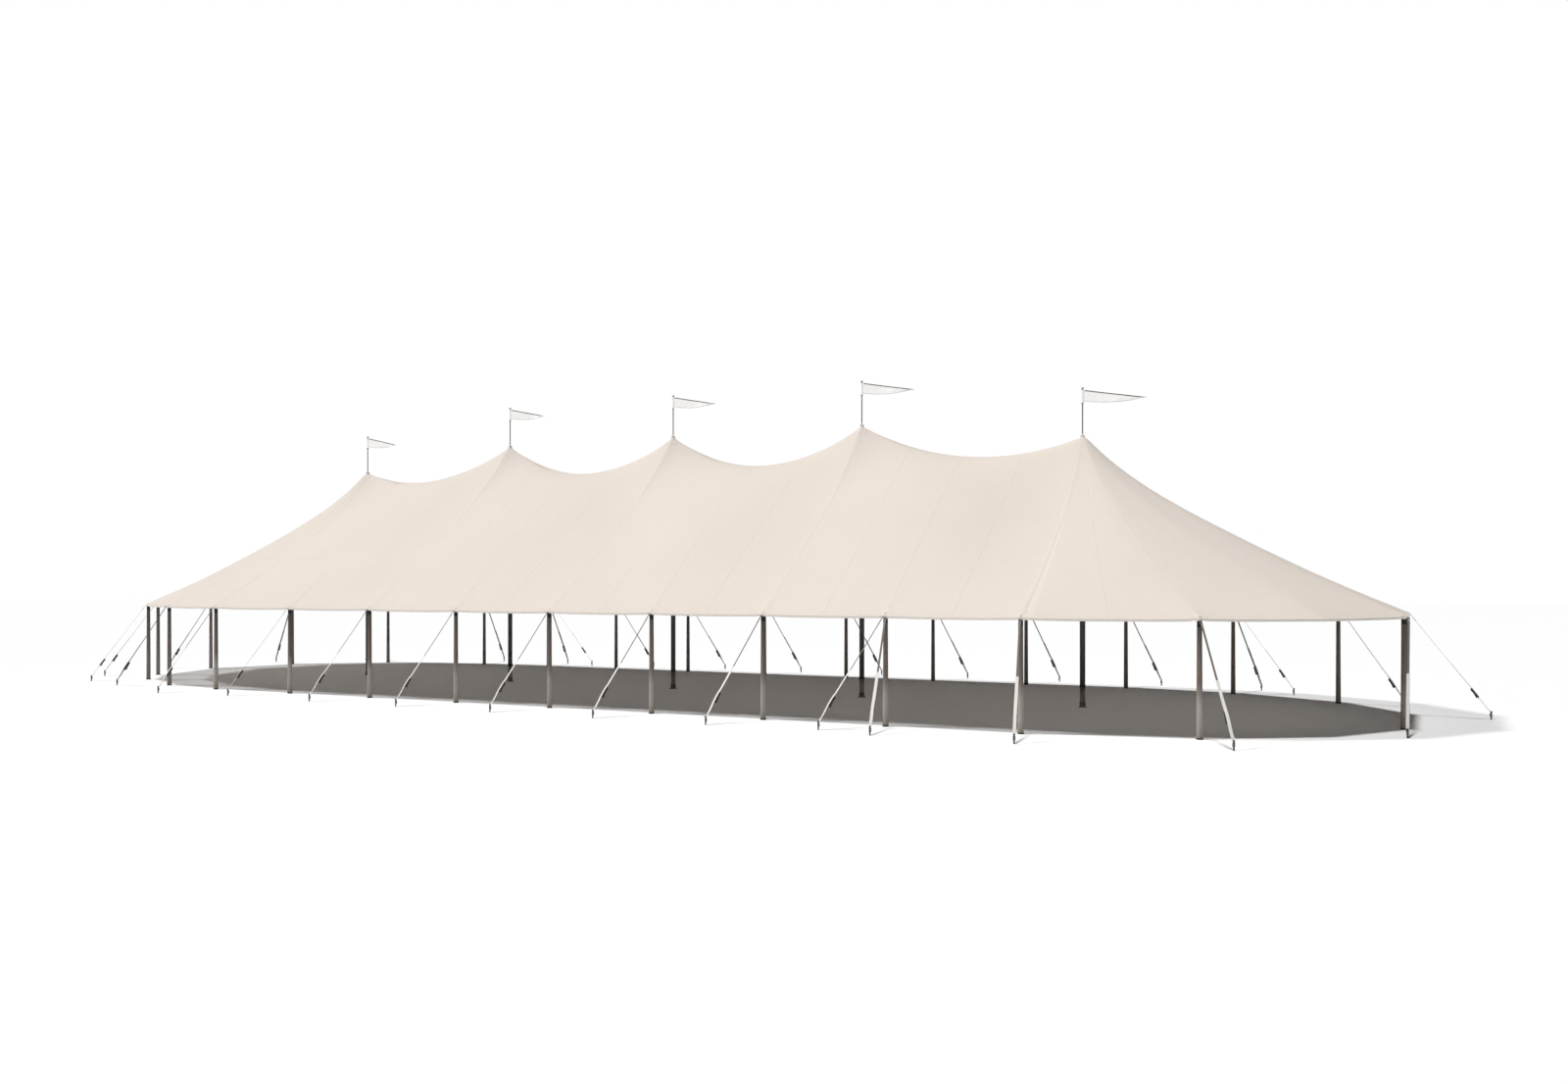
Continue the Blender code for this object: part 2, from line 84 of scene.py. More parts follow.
studio = {
    "lens": 27.949,  # mm on a 36 mm wide sensor
    "stand": (9.4416, -15.7156, 1.6172),
    "turn": 25.797,
    "lift": 0.0248,  # keeps the horizon a little under the middle
    "skyFill": 0.05,
    "skyTone": (0.97, 0.985, 1.0),
    "suns": {  # power, spread in degrees, where from
        "overhead": (2.20, 6.0, (-0.07, -0.10, 1.0)),
        "side": (1.45, 7.0, (-0.60, -0.25, 0.76)),
    },
    "sunTone": (1.0, 0.985, 0.965),
    "floorTone": (0.93, 0.944, 0.963),
    "floorSize": 90.0,
}

cameraData = bpy.data.cameras.new("photoCamera")
cameraData.lens = studio["lens"]
cameraData.sensor_width = 36
cameraData.shift_y = studio["lift"]
cameraData.clip_end = 300
camera = inScene("photoCamera", cameraData)
camera.location = studio["stand"]
camera.rotation_euler = (math.radians(90), 0, math.radians(studio["turn"]))
bpy.context.scene.camera = camera


# the plan and the slope of the cloth, as the solids have them

def ovalPoint(turn):
    t = math.radians(turn)
    return Vector((tent["outerMast"] + tent["endReach"] * math.cos(t), tent["halfWidth"] * math.sin(t)))


def eaveCorners():
    # (pole, place) of each corner, against the clock from the front's left one
    corners, number = [], 0
    for i in range(tent["polesASide"]):
        corners.append((f"front_{i + 1}", Vector((i * tent["bay"] - tent["outerMast"], -tent["halfWidth"]))))
    for turn in tent["rightTurns"]:
        number += turn != tent["openTurn"]
        corners.append((None if turn == tent["openTurn"] else f"right_{number}", ovalPoint(turn)))
    for i in range(tent["polesASide"]):
        corners.append((f"back_{i + 1}", Vector((tent["outerMast"] - i * tent["bay"], tent["halfWidth"]))))
    for i, turn in enumerate(tent["leftTurns"]):
        corners.append((f"left_{i + 1}", -ovalPoint(turn)))
    return corners


def wayOut(a, b):
    along = (b - a).normalized()
    return Vector((along.y, -along.x))


def eaveLine(beyond):
    points = [point for _, point in eaveCorners()]
    line = []
    for i, point in enumerate(points):
        first = wayOut(points[i - 1], point)
        second = wayOut(point, points[(i + 1) % len(points)])
        out = (first + second).normalized()
        line.append(point + out * (beyond / out.dot(first)))
    return line


eaveEdge = eaveLine(tent["overhang"])


def endCorners(side):
    # corners of one oval end seen from its mast, the left end turned half round
    lastFront = tent["polesASide"] - 1
    start = lastFront if side > 0 else 2 * tent["polesASide"] + len(tent["rightTurns"]) - 1
    corners = [side * eaveEdge[(start + i) % len(eaveEdge)] for i in range(len(tent["rightTurns"]) + 2)]
    corners[0].x = tent["outerMast"]
    corners[-1].x = tent["outerMast"]
    return np.array([(c.x - tent["outerMast"], c.y) for c in corners])


endShapes = {}
for side in (1, -1):
    corners = endCorners(side)
    along = np.diff(corners, axis=0)
    normals = np.stack([along[:, 1], -along[:, 0]], 1) / np.linalg.norm(along, axis=1)[:, None]
    endShapes[side] = (corners, along, normals, (normals * corners[:-1]).sum(1))


def polePlaces():
    # foot of each side pole, and the way from it to the ridge or the peak
    places = []
    for name, point in eaveCorners():
        if name is None:
            continue
        if name.startswith(("right", "left")):
            middle = Vector((math.copysign(tent["outerMast"], point.x), 0))
            inward = (middle - point).normalized()
        else:
            inward = Vector((0, -math.copysign(1, point.y)))
        places.append((name, point, inward))
    return places


poles = polePlaces()

clothShape = {
    "poleLift": 0.010,  # how far the cloth stands up over each pole's line
    "poleFade": 0.55,
    "poleLine": (0.035, 0.17),  # half width of that line at the eave, and how fast it widens
    "eaveSag": 0.007,
    "sagReach": 0.20,
    "sagHalf": 0.30,
    "panel": tent["bay"] / 2,
    "panelPuff": 0.0035,
    "facetDip": 0.006,
    "endFull": 0.038,  # how far the ends stand out where they are fullest
    "fullest": 1 / 4.5,  # as a share of the way down
    "fullTurn": 0.55,  # how far round the end the fullness takes to come in
    "hipRound": 0.030,  # how softly one facet of an end turns into the next
    "hipFade": 0.3,
    "hipStart": 0.7,
    "pleats": 14,
    "pleatDepth": 0.0014,
    "pleatRing": (0.26, 0.16),  # how far from the mast the pleats are deepest, and their spread
    "unrest": 0.0022,
}


def eased(t):
    return t * t * (3 - 2 * t)


def slopeShare(x, y):
    # 0 on the line of the masts and 1 at the eave, with the place along its facet for the ends
    share = np.abs(y) / edgeReach
    across = np.full(x.shape, -1.0)
    for side in (1, -1):
        corners, along, normals, reach = endShapes[side]
        beyond = side * x > tent["outerMast"]
        if not beyond.any():
            continue
        px, py = side * x[beyond] - tent["outerMast"], side * y[beyond]
        found = (px[:, None] * normals[:, 0] + py[:, None] * normals[:, 1]) / reach
        facet = found.argmax(1)
        share[beyond] = found.max(1)
        safe = np.maximum(found.max(1), 1e-6)
        fromCorner = np.stack([px / safe, py / safe], 1) - corners[facet]
        across[beyond] = (fromCorner * along[facet]).sum(1) / (along[facet] ** 2).sum(1)
    return share, across


def roundedShare(x, y, share):
    # the same with the hips of both ends drawn soft, save close to the eave
    share = share.copy()
    for side in (1, -1):
        _, _, normals, reach = endShapes[side]
        beyond = side * x > tent["outerMast"] - tent["bay"]
        if not beyond.any():
            continue
        px, py = side * x[beyond] - tent["outerMast"], side * y[beyond]
        facets = (px[:, None] * normals[:, 0] + py[:, None] * normals[:, 1]) / reach
        planes = np.sort(np.concatenate([facets, np.stack([py, -py], 1) / edgeReach], 1), axis=1)
        top, second = planes[:, -1], planes[:, -2]
        fade = eased(np.clip((1 - top) / clothShape["hipFade"], 0, 1))
        fadeIn = eased(np.clip((px + tent["bay"]) / (tent["bay"] * clothShape["hipStart"]), 0, 1))
        soft = clothShape["hipRound"] * np.maximum(top, 0) * fade * fadeIn
        share[beyond] = (top + second) / 2 + np.hypot((top - second) / 2, soft)
    return share


def clothTop(x, y):
    # height of the cloth's upper face over points of the ground
    x, y = np.asarray(x, float), np.asarray(y, float)
    share, across = slopeShare(x, y)
    share = roundedShare(x, y, share)
    inside = np.abs(x) <= tent["outerMast"]
    turn = (x + tent["outerMast"]) / tent["mastBay"]
    bayIndex = np.clip(np.floor(turn), 0, len(bayNumbers) - 1).astype(int)
    t = np.clip(turn - bayIndex, 0, 1)
    peaks = np.array([peak for _, peak in masts])
    h0, h1 = peaks[bayIndex], peaks[bayIndex + 1]
    ridge = h0 + (h1 - h0) * t - 4 * t * (1 - t) * ((h0 + h1) / 2 - tent["ridgeLow"])
    ridge = np.where(inside, ridge, tent["outerPeak"])
    inner = tent["eave"] + (tent["innerPeak"] - tent["eave"]) * (1 - tent["innerCusp"])
    outer = tent["eave"] + (tent["outerPeak"] - tent["eave"]) * (1 - tent["outerCusp"])
    straight = inner + (outer - inner) * eased(np.clip((np.abs(x) - tent["mastBay"]) / tent["mastBay"], 0, 1))
    along = np.where(inside, np.sin(math.pi * turn) ** 2, 0)
    radius = tent["peakRound"] + (tent["ridgeRound"] - tent["peakRound"]) * along
    down = (np.hypot(share * edgeReach, radius) - radius) / (np.hypot(edgeReach, radius) - radius)
    rate = tent["cuspRate"]
    cusp = (np.exp(-rate * down) - math.exp(-rate)) / (1 - math.exp(-rate))
    height = tent["eave"] + (straight - tent["eave"]) * (1 - down) + (ridge - straight) * cusp
    return height + clothRelief(x, y, share, across, inside)


def clothRelief(x, y, share, across, inside):
    # what tension does to the cloth: ridges over the poles, a slack eave, puffed panels, pleats at the peaks
    c = clothShape
    relief = -c["eaveSag"] * np.exp(-(1 - share) * edgeReach / c["sagReach"])
    for _, point, toward in poles:
        dx, dy = x - point.x, y - point.y
        a = np.maximum(dx * toward.x + dy * toward.y + tent["overhang"], 0)
        b = dx * toward.y - dy * toward.x
        near = np.exp(-a / c["sagReach"]) * np.exp(-(b / c["sagHalf"]) ** 2)
        line = np.exp(-a / c["poleFade"]) * np.exp(-(b / (c["poleLine"][0] + c["poleLine"][1] * a)) ** 2)
        relief = relief + c["eaveSag"] * near + c["poleLift"] * line
    middle = np.sin(math.pi * np.clip(share, 0, 1) ** 0.8)
    puff = np.sin(math.pi * x / c["panel"]) ** 2 - 0.5
    relief = relief + np.where(inside, c["panelPuff"] * puff, 0) * middle
    dip = np.sin(math.pi * np.clip(across, 0, 1)) ** 2
    relief = relief - np.where(inside, 0, c["facetDip"] * dip) * middle
    full = np.clip(share, 0, 1) / c["fullest"]
    reach = c["fullTurn"] * tent["endReach"] * np.maximum(share, 1e-4)
    turned = eased(np.clip((np.abs(x) - tent["outerMast"]) / reach, 0, 1))
    relief = relief + c["endFull"] * full ** 1.5 * np.exp(1.5 * (1 - full)) * turned
    deepest, spreadOut = c["pleatRing"]
    for mastX, _ in masts:
        r = np.hypot(x - mastX, y)
        pleat = np.cos(c["pleats"] * np.arctan2(y, x - mastX))
        relief = relief + c["pleatDepth"] * pleat * np.exp(-((r - deepest) / spreadOut) ** 2)
    wander = np.sin(3.1 * x + 1.3 * y) * np.sin(2.3 * y - 1.7 * x)
    wander = wander + 0.6 * np.sin(7.9 * x + y) * np.sin(6.1 * y + 2 * x)
    return relief + c["unrest"] * wander * middle


def clothSpot(x, y, lift=0.0):
    return Vector((x, y, float(clothTop(np.array([x]), np.array([y]))[0]) + lift))


# small makers for node trees

def feed(socket, value):
    # a link, or else a value, with three numbers enough for a colour
    if isinstance(value, bpy.types.NodeSocket):
        socket.id_data.links.new(value, socket)
    elif socket.type == "RGBA" and len(value) == 3:
        socket.default_value = (*value, 1)
    else:
        socket.default_value = value


def put(where, kind, inputs=(), **settings):
    # where is a tree, or any node or socket in it
    made = where.id_data.nodes.new(kind)
    for key, value in settings.items():
        setattr(made, key, value)
    for key, value in dict(inputs).items():
        feed(made.inputs[key], value)
    return made


def firstSocket(*values):
    return next(value for value in values if isinstance(value, bpy.types.NodeSocket))


def calc(operation, a, b=0.0, c=0.0, clamp=False):
    wanted = {0: a, 1: b, 2: c}
    made = put(firstSocket(a, b, c), "ShaderNodeMath", wanted, operation=operation, use_clamp=clamp)
    return made.outputs[0]


def add(a, b):
    return calc("ADD", a, b)


def subtract(a, b):
    return calc("SUBTRACT", a, b)


def multiply(a, b, clamp=False):
    return calc("MULTIPLY", a, b, clamp=clamp)


def scaled(value, share, more):
    return calc("MULTIPLY_ADD", value, share, more)


def tint(amount, a, b):
    made = put(firstSocket(amount, a, b), "ShaderNodeMix", data_type="RGBA")
    for index, value in ((0, amount), (6, a), (7, b)):
        feed(made.inputs[index], value)
    return made.outputs[2]


def partly(mask, share, colour, other):
    # brings in no more than a share of the other colour, where the mask says
    return tint(multiply(mask, share), colour, other)


def span(value, low, high, toLow=0.0, toHigh=1.0):
    wanted = {"Value": value, "From Min": low, "From Max": high, "To Min": toLow, "To Max": toHigh}
    return put(value, "ShaderNodeMapRange", wanted).outputs[0]


def noise(vector, scale, detail=3.0, rough=0.55, bend=0.0):
    wanted = {"Vector": vector, "Scale": scale, "Detail": detail, "Roughness": rough, "Distortion": bend}
    return put(vector, "ShaderNodeTexNoise", wanted).outputs["Fac"]


def stretched(vector, scale):
    return put(vector, "ShaderNodeMapping", {"Vector": vector, "Scale": scale}).outputs[0]


def cells(vector, scale, feature="F1"):
    return put(vector, "ShaderNodeTexVoronoi", {"Vector": vector, "Scale": scale}, feature=feature).outputs


def parts(vector):
    return put(vector, "ShaderNodeSeparateXYZ", {0: vector}).outputs


def attribute(shader, name):
    return put(shader, "ShaderNodeAttribute", attribute_name=name).outputs["Fac"]


def takeIn(tree, takes):
    # named inputs by their first values, or by their kind where they have none
    named = {}
    for label, value in takes.items():
        kind = value if isinstance(value, str) else "Int" if isinstance(value, int) else "Float"
        socket = tree.interface.new_socket(label, in_out="INPUT", socket_type="NodeSocket" + kind)
        if kind != value:
            socket.default_value = value
        named[label] = socket.identifier
    return named


def newGroup(name, takes, gives):
    group = bpy.data.node_groups.new(name, "ShaderNodeTree")
    takeIn(group, takes)
    for label in gives:
        group.interface.new_socket(label, in_out="OUTPUT", socket_type="NodeSocketFloat")
    return group, group.nodes.new("NodeGroupInput").outputs, group.nodes.new("NodeGroupOutput").inputs


def useGroup(group, inputs):
    made = put(firstSocket(*inputs.values()), "ShaderNodeGroup", node_tree=group)
    for key, value in inputs.items():
        feed(made.inputs[key], value)
    return made.outputs


# effects that several finishes share

def makeWeave():
    takes = {"Vector": "Vector", "Threads": 700.0}
    group, take, give = newGroup("plainWeave", takes, ["Height", "Slubs"])
    x, y, _ = parts(take["Vector"])
    pitch = multiply(take["Threads"], math.pi)
    warp = calc("SINE", multiply(x, pitch))
    weft = calc("SINE", multiply(y, pitch))
    crossing = scaled(multiply(warp, weft), 0.5, 0.5)
    longWays = noise(stretched(take["Vector"], (260, 9, 1)), 1.0, 2.0)
    crossWays = noise(stretched(take["Vector"], (9, 260, 1)), 1.0, 2.0)
    slubs = multiply(add(longWays, crossWays), 0.5)
    feed(give["Height"], scaled(crossing, 0.6, multiply(slubs, 0.4)))
    feed(give["Slubs"], slubs)
    return group


def makeSewing():
    # rows of stitches on both edges of a strip, and the pucker beside them
    takes = {"Across": 0.0, "Along": 0.0, "Inset": 0.005, "Pitch": 0.005, "Thread": 0.0008}
    group, take, give = newGroup("sewnRows", takes, ["Stitch", "Pucker"])
    side = calc("ABSOLUTE", subtract(calc("ABSOLUTE", take["Across"]), take["Inset"]))
    row = span(side, take["Thread"], multiply(take["Thread"], 0.6), 0.0, 1.0)
    step = calc("FRACT", calc("DIVIDE", take["Along"], take["Pitch"]))
    stitch = multiply(row, calc("LESS_THAN", step, 0.68))
    wave = calc("SINE", multiply(calc("DIVIDE", take["Along"], take["Pitch"]), math.tau))
    near = span(side, multiply(take["Thread"], 6.0), 0.0, 0.0, 1.0)
    feed(give["Stitch"], stitch)
    feed(give["Pucker"], multiply(near, scaled(wave, 0.5, 0.5)))
    return group


def makeDust():
    # splashes and dust that fade out with height
    takes = {"Vector": "Vector", "Top": 0.15, "Amount": 0.5}
    group, take, give = newGroup("groundDust", takes, ["Dust"])
    _, _, z = parts(take["Vector"])
    fade = span(z, take["Top"], 0.0)
    blots = noise(take["Vector"], 38.0, 5.0, 0.62)
    mottled = span(add(blots, multiply(fade, 0.45)), 0.52, 0.92)
    feed(give["Dust"], multiply(multiply(mottled, fade), take["Amount"], clamp=True))
    return group


def makeGrain():
    # timber that runs up the pole: soft bands, fine fibres and dark checks
    takes = {"Vector": "Vector", "Fineness": 1.0}
    group, take, give = newGroup("poleGrain", takes, ["Bands", "Fibre", "Checks"])
    size = put(group, "ShaderNodeVectorMath", {0: take["Vector"]}, operation="SCALE")
    feed(size.inputs["Scale"], take["Fineness"])
    bands = noise(stretched(size.outputs[0], (34, 34, 1.6)), 1.0, 4.0, 0.6, 1.2)
    fibre = noise(stretched(size.outputs[0], (420, 420, 7)), 1.0, 2.0, 0.7)
    cracks = noise(stretched(size.outputs[0], (120, 120, 2.2)), 1.0, 3.0, 0.5, 0.4)
    feed(give["Bands"], bands)
    feed(give["Fibre"], fibre)
    feed(give["Checks"], span(cracks, 0.66, 0.72))
    return group


def makeScuffs():
    # patches where handling and ropes have rubbed a finish through
    takes = {"Vector": "Vector", "Size": 60.0, "Amount": 0.3}
    group, take, give = newGroup("rubbedPatches", takes, ["Rubbed", "Grime"])
    broad = noise(take["Vector"], take["Size"], 6.0, 0.68, 0.5)
    fine = noise(take["Vector"], multiply(take["Size"], 5.0), 3.0, 0.6)
    both = scaled(fine, 0.35, multiply(broad, 0.65))
    level = subtract(0.78, multiply(take["Amount"], 0.45))
    feed(give["Rubbed"], span(both, level, add(level, 0.06)))
    feed(give["Grime"], span(both, 0.48, 0.30))
    return group


weave, sewing, dust, grain, scuffs = makeWeave(), makeSewing(), makeDust(), makeGrain(), makeScuffs()
print("shared effects made")


def newFinish(name, colour):
    made = bpy.data.materials.new(name)
    made.use_nodes = True
    made.diffuse_color = (*colour, 1.0)
    tree = made.node_tree
    place = put(tree, "ShaderNodeTexCoord").outputs["Object"]
    return made, tree.nodes["Principled BSDF"], place


def dress(shader, colour, roughness):
    feed(shader.inputs["Base Color"], colour)
    feed(shader.inputs["Roughness"], roughness)


def emboss(shader, height, depth, strength=1.0, under=None):
    # a bump in metres, over another one where wanted
    inputs = {"Height": height, "Distance": depth, "Strength": strength}
    if under is not None:
        inputs["Normal"] = under
    bump = put(shader, "ShaderNodeBump", inputs)
    feed(shader.inputs["Normal"], bump.outputs[0])
    return bump.outputs[0]


def surfaceMap(shader, name):
    return put(shader, "ShaderNodeUVMap", uv_map=name).outputs[0]


def woven(flat, threads):
    return useGroup(weave, {"Vector": flat, "Threads": threads})


def sewnAlong(across, along, look):
    wanted = {"Across": across, "Along": along}
    wanted.update({"Inset": look["inset"], "Pitch": look["pitch"], "Thread": look["thread"]})
    return useGroup(sewing, wanted)


def rubbed(place, size, amount):
    return useGroup(scuffs, {"Vector": place, "Size": size, "Amount": amount})


def dusted(place, colour, tone, top, amount):
    settled = useGroup(dust, {"Vector": place, "Top": top, "Amount": amount})
    return tint(settled["Dust"], colour, tone)


def wavering(z, mask, amount):
    # a height that wanders with a mask, for edges that aren't level
    return add(z, multiply(mask, amount))


# finishes

sailclothLook = {
    "ivory": (0.785, 0.717, 0.658),
    "shade": (0.752, 0.684, 0.620),
    "dustTone": (0.520, 0.455, 0.380),
    "soiled": 0.30,  # how strong the marks are close to the eave
    "threads": 620.0,
    "weaveDepth": 0.00022,
    "creaseDepth": 0.0035,
    "foldShare": 0.10,
    "puckerDepth": 0.0006,
    "sheen": 0.12,
}

stripLook = {"inset": 0.0045, "pitch": 0.0056, "thread": 0.0007, "threadTone": (0.93, 0.90, 0.85)}


def sailclothFinish(name, strip=False):
    look = sailclothLook
    made, shader, place = newFinish(name, look["ivory"])
    flat = surfaceMap(shader, "strip" if strip else "cloth")
    cloth = woven(flat, look["threads"])
    broad = noise(place, 0.9, 3.0, 0.5)
    fine = noise(place, 9.0, 5.0, 0.6)
    tone = scaled(cloth["Slubs"], 0.5, scaled(broad, 0.35, multiply(fine, 0.25)))
    colour = tint(span(tone, 0.42, 0.70), look["ivory"], look["shade"])
    low = span(attribute(shader, "share"), 0.955, 1.0)
    marks = span(noise(place, 16.0, 6.0, 0.66), 0.48, 0.74)
    colour = partly(multiply(low, marks), look["soiled"], colour, look["dustTone"])
    creases = noise(stretched(flat, (1.0, 0.55, 1.0)), 5.5, 4.0, 0.52, 0.9)
    folded = span(cells(flat, 2.4, "DISTANCE_TO_EDGE")["Distance"], 0.012, 0.0)
    bump = emboss(shader, scaled(folded, look["foldShare"], creases), look["creaseDepth"], 0.45)
    if strip:
        across, along, _ = parts(flat)
        sewn = sewnAlong(across, along, stripLook)
        colour = partly(sewn["Stitch"], 0.8, colour, stripLook["threadTone"])
        height = subtract(sewn["Stitch"], sewn["Pucker"])
        bump = emboss(shader, height, look["puckerDepth"], 0.8, bump)
    emboss(shader, cloth["Height"], look["weaveDepth"], 0.55, bump)
    dress(shader, colour, span(cloth["Slubs"], 0.35, 0.65, 0.70, 0.84))
    shader.inputs["Sheen Weight"].default_value = look["sheen"]
    return made


pennantLook = {
    "white": (0.94, 0.94, 0.93),
    "creased": (0.84, 0.845, 0.85),
    "threads": 900.0,
    "creaseDepth": 0.0014,
    "weaveDepth": 0.00015,
    "sheen": 0.1,
    "glow": 0.24,  # painted glow: the cloth gives off light of its own, in place of light through the thin cloth
}


def pennantFinish():
    look = pennantLook
    made, shader, place = newFinish("pennantCloth", look["white"])
    flat = surfaceMap(shader, "cloth")
    cloth = woven(flat, look["threads"])
    tone = scaled(noise(place, 14.0, 4.0), 0.5, multiply(cloth["Slubs"], 0.5))
    colour = tint(span(tone, 0.40, 0.75), look["white"], look["creased"])
    dress(shader, colour, span(tone, 0.3, 0.7, 0.62, 0.80))
    creases = noise(stretched(flat, (1, 2.2, 1)), 24.0, 3.0)
    bump = emboss(shader, creases, look["creaseDepth"], 0.5)
    emboss(shader, cloth["Height"], look["weaveDepth"], 0.5, bump)
    shader.inputs["Sheen Weight"].default_value = look["sheen"]
    # painted glow: an even emission from the cloth, standing in for light that comes through it
    shader.inputs["Emission Color"].default_value = (*look["white"], 1)
    shader.inputs["Emission Strength"].default_value = look["glow"]
    return made


hemLook = {
    "grey": ((0.105, 0.108, 0.115), (0.07, 0.072, 0.078)),
    "pale": ((0.88, 0.88, 0.87), (0.70, 0.70, 0.69)),
    "threadTone": (0.55, 0.55, 0.54),
    "inset": 0.0028,
    "pitch": 0.0045,
    "thread": 0.0005,
    "depth": 0.0004,
}


def hemFinish(name, kind):
    tone, grime = hemLook[kind]
    made, shader, place = newFinish(name, tone)
    across, along, _ = parts(surfaceMap(shader, "strip"))
    sewn = sewnAlong(across, along, hemLook)
    worn = rubbed(place, 45.0, 0.25)
    colour = tint(worn["Grime"], tone, grime)
    colour = tint(sewn["Stitch"], colour, hemLook["threadTone"])
    dress(shader, colour, span(worn["Grime"], 0.0, 1.0, 0.66, 0.82))
    emboss(shader, subtract(sewn["Stitch"], sewn["Pucker"]), hemLook["depth"], 0.8)
    return made


mud = (0.20, 0.165, 0.125)

webbingLook = {
    # painted light: the eave webbing is paler than the cloth, so that its upright face, which gets less
    # light, reads as light as the cloth
    "eave": ((0.95, 0.89, 0.83), (0.90, 0.83, 0.76)),
    "belt": ((0.70, 0.68, 0.64), (0.50, 0.475, 0.44)),
    "guy": ((0.205, 0.190, 0.172), (0.120, 0.110, 0.098)),
    "sleeve": ((0.90, 0.885, 0.86), (0.78, 0.76, 0.73)),
    "thread": ((0.88, 0.86, 0.82), (0.66, 0.63, 0.58)),
    "ribs": 190.0,  # a metre
    "cords": 700.0,
    "chevron": 0.0045,
    "depth": 0.0005,
}


def webbingFinish(name, kind, dusty=0.75):
    look = webbingLook
    pale, shade = look[kind]
    made, shader, place = newFinish(name, pale)
    across, along, _ = parts(surfaceMap(shader, "strip"))
    zigzag = calc("PINGPONG", add(across, 0.05), look["chevron"])
    rib = calc("SINE", multiply(add(along, zigzag), look["ribs"] * math.tau))
    cord = calc("SINE", multiply(across, look["cords"] * math.tau))
    height = scaled(rib, 0.35, scaled(cord, 0.15, 0.5))
    worn = rubbed(place, 70.0, 0.35)
    # painted shade: darker in the hollows between the ribs and cords, with grime mixed in
    tone = scaled(subtract(1.0, height), 0.55, multiply(worn["Grime"], 0.35))
    colour = tint(tone, pale, shade)
    colour = partly(worn["Rubbed"], 0.4, colour, [min(0.92, c * 1.25 + 0.02) for c in pale])
    colour = dusted(place, colour, mud, 0.24, dusty)
    dress(shader, colour, span(tone, 0.0, 1.0, 0.62, 0.88))
    emboss(shader, height, look["depth"], 0.8)
    return made


sidePoleLook = {
    "pale": (0.250, 0.206, 0.173),
    "brown": (0.140, 0.109, 0.090),
    "rubbed": (0.33, 0.29, 0.25),
    "paintedSun": ((0.36, 0.325, 0.295), (0.50, 0.46, 0.42)),  # painted sunlight: the lower part is lighter, where the cloth gives no shade
    "paintedSunTop": (0.64, 0.44),
    "check": (0.030, 0.024, 0.020),
    # painted shade: the timber darkens towards its top, as in the shade of the cloth
    "paintedShadeTone": (0.045, 0.038, 0.034),
    "paintedShadeStart": (0.85, 1.38),
    "dustTop": 0.22,
    "depth": 0.0012,
}


def sidePoleFinish():
    look = sidePoleLook
    made, shader, place = newFinish("weatheredPole", look["pale"])
    timber = useGroup(grain, {"Vector": place, "Fineness": 1.0})
    _, _, z = parts(place)
    worn = rubbed(place, 22.0, 0.45)
    tone = scaled(timber["Fibre"], 0.4, multiply(timber["Bands"], 0.6))
    colour = tint(span(tone, 0.34, 0.66), look["brown"], look["pale"])
    colour = partly(worn["Rubbed"], 0.35, colour, look["rubbed"])
    colour = partly(timber["Checks"], 0.85, colour, look["check"])
    # painted sunlight: each pole's lower part is lightened by its own share of painted sun
    paintedSun = attribute(shader, "paintedSun")
    lower = span(wavering(z, timber["Bands"], 0.16), *look["paintedSunTop"])
    paintedSunTone = tint(span(tone, 0.34, 0.66), *look["paintedSun"])
    colour = partly(lower, paintedSun, colour, paintedSunTone)
    # painted shade: the upper part of the timber is darkened, as under the cloth
    upper = span(wavering(z, timber["Bands"], 0.3), *look["paintedShadeStart"])
    colour = partly(upper, 0.6, colour, look["paintedShadeTone"])
    colour = dusted(place, colour, mud, look["dustTop"], 0.8)
    dress(shader, colour, span(tone, 0.3, 0.7, 0.82, 0.62))
    height = subtract(multiply(timber["Fibre"], 0.4), timber["Checks"])
    emboss(shader, height, look["depth"], 0.7)
    return made


mastLook = {
    "dark": (0.020, 0.017, 0.015),
    "brown": (0.062, 0.046, 0.036),
    "rubbed": (0.17, 0.125, 0.09),
    "check": (0.008, 0.007, 0.006),
    "dusty": (0.25, 0.23, 0.21),  # the lowest part
    "dustyTop": (0.33, 0.22),
    "dustTop": 0.40,
    "depth": 0.0010,
    "coat": 0.25,
    "coatRough": 0.35,
}


def mastFinish():
    look = mastLook
    made, shader, place = newFinish("stainedMast", look["brown"])
    timber = useGroup(grain, {"Vector": place, "Fineness": 0.8})
    worn = rubbed(place, 14.0, 0.35)
    tone = scaled(timber["Fibre"], 0.35, multiply(timber["Bands"], 0.65))
    colour = tint(span(tone, 0.34, 0.68), look["dark"], look["brown"])
    colour = partly(worn["Rubbed"], 0.45, colour, look["rubbed"])
    colour = partly(timber["Checks"], 0.8, colour, look["check"])
    colour = dusted(place, colour, look["dusty"], look["dustTop"], 0.7)
    _, _, z = parts(place)
    low = span(wavering(z, timber["Bands"], 0.10), *look["dustyTop"])
    colour = partly(low, 0.85, colour, look["dusty"])
    dress(shader, colour, span(worn["Rubbed"], 0.0, 1.0, 0.42, 0.66))
    shader.inputs["Coat Weight"].default_value = look["coat"]
    shader.inputs["Coat Roughness"].default_value = look["coatRough"]
    height = subtract(multiply(timber["Fibre"], 0.4), timber["Checks"])
    emboss(shader, height, look["depth"], 0.6)
    return made


steelLook = {"grime": (0.45, 0.42, 0.40), "rust": (0.16, 0.075, 0.035), "spangle": 210.0, "depth": 0.0003}


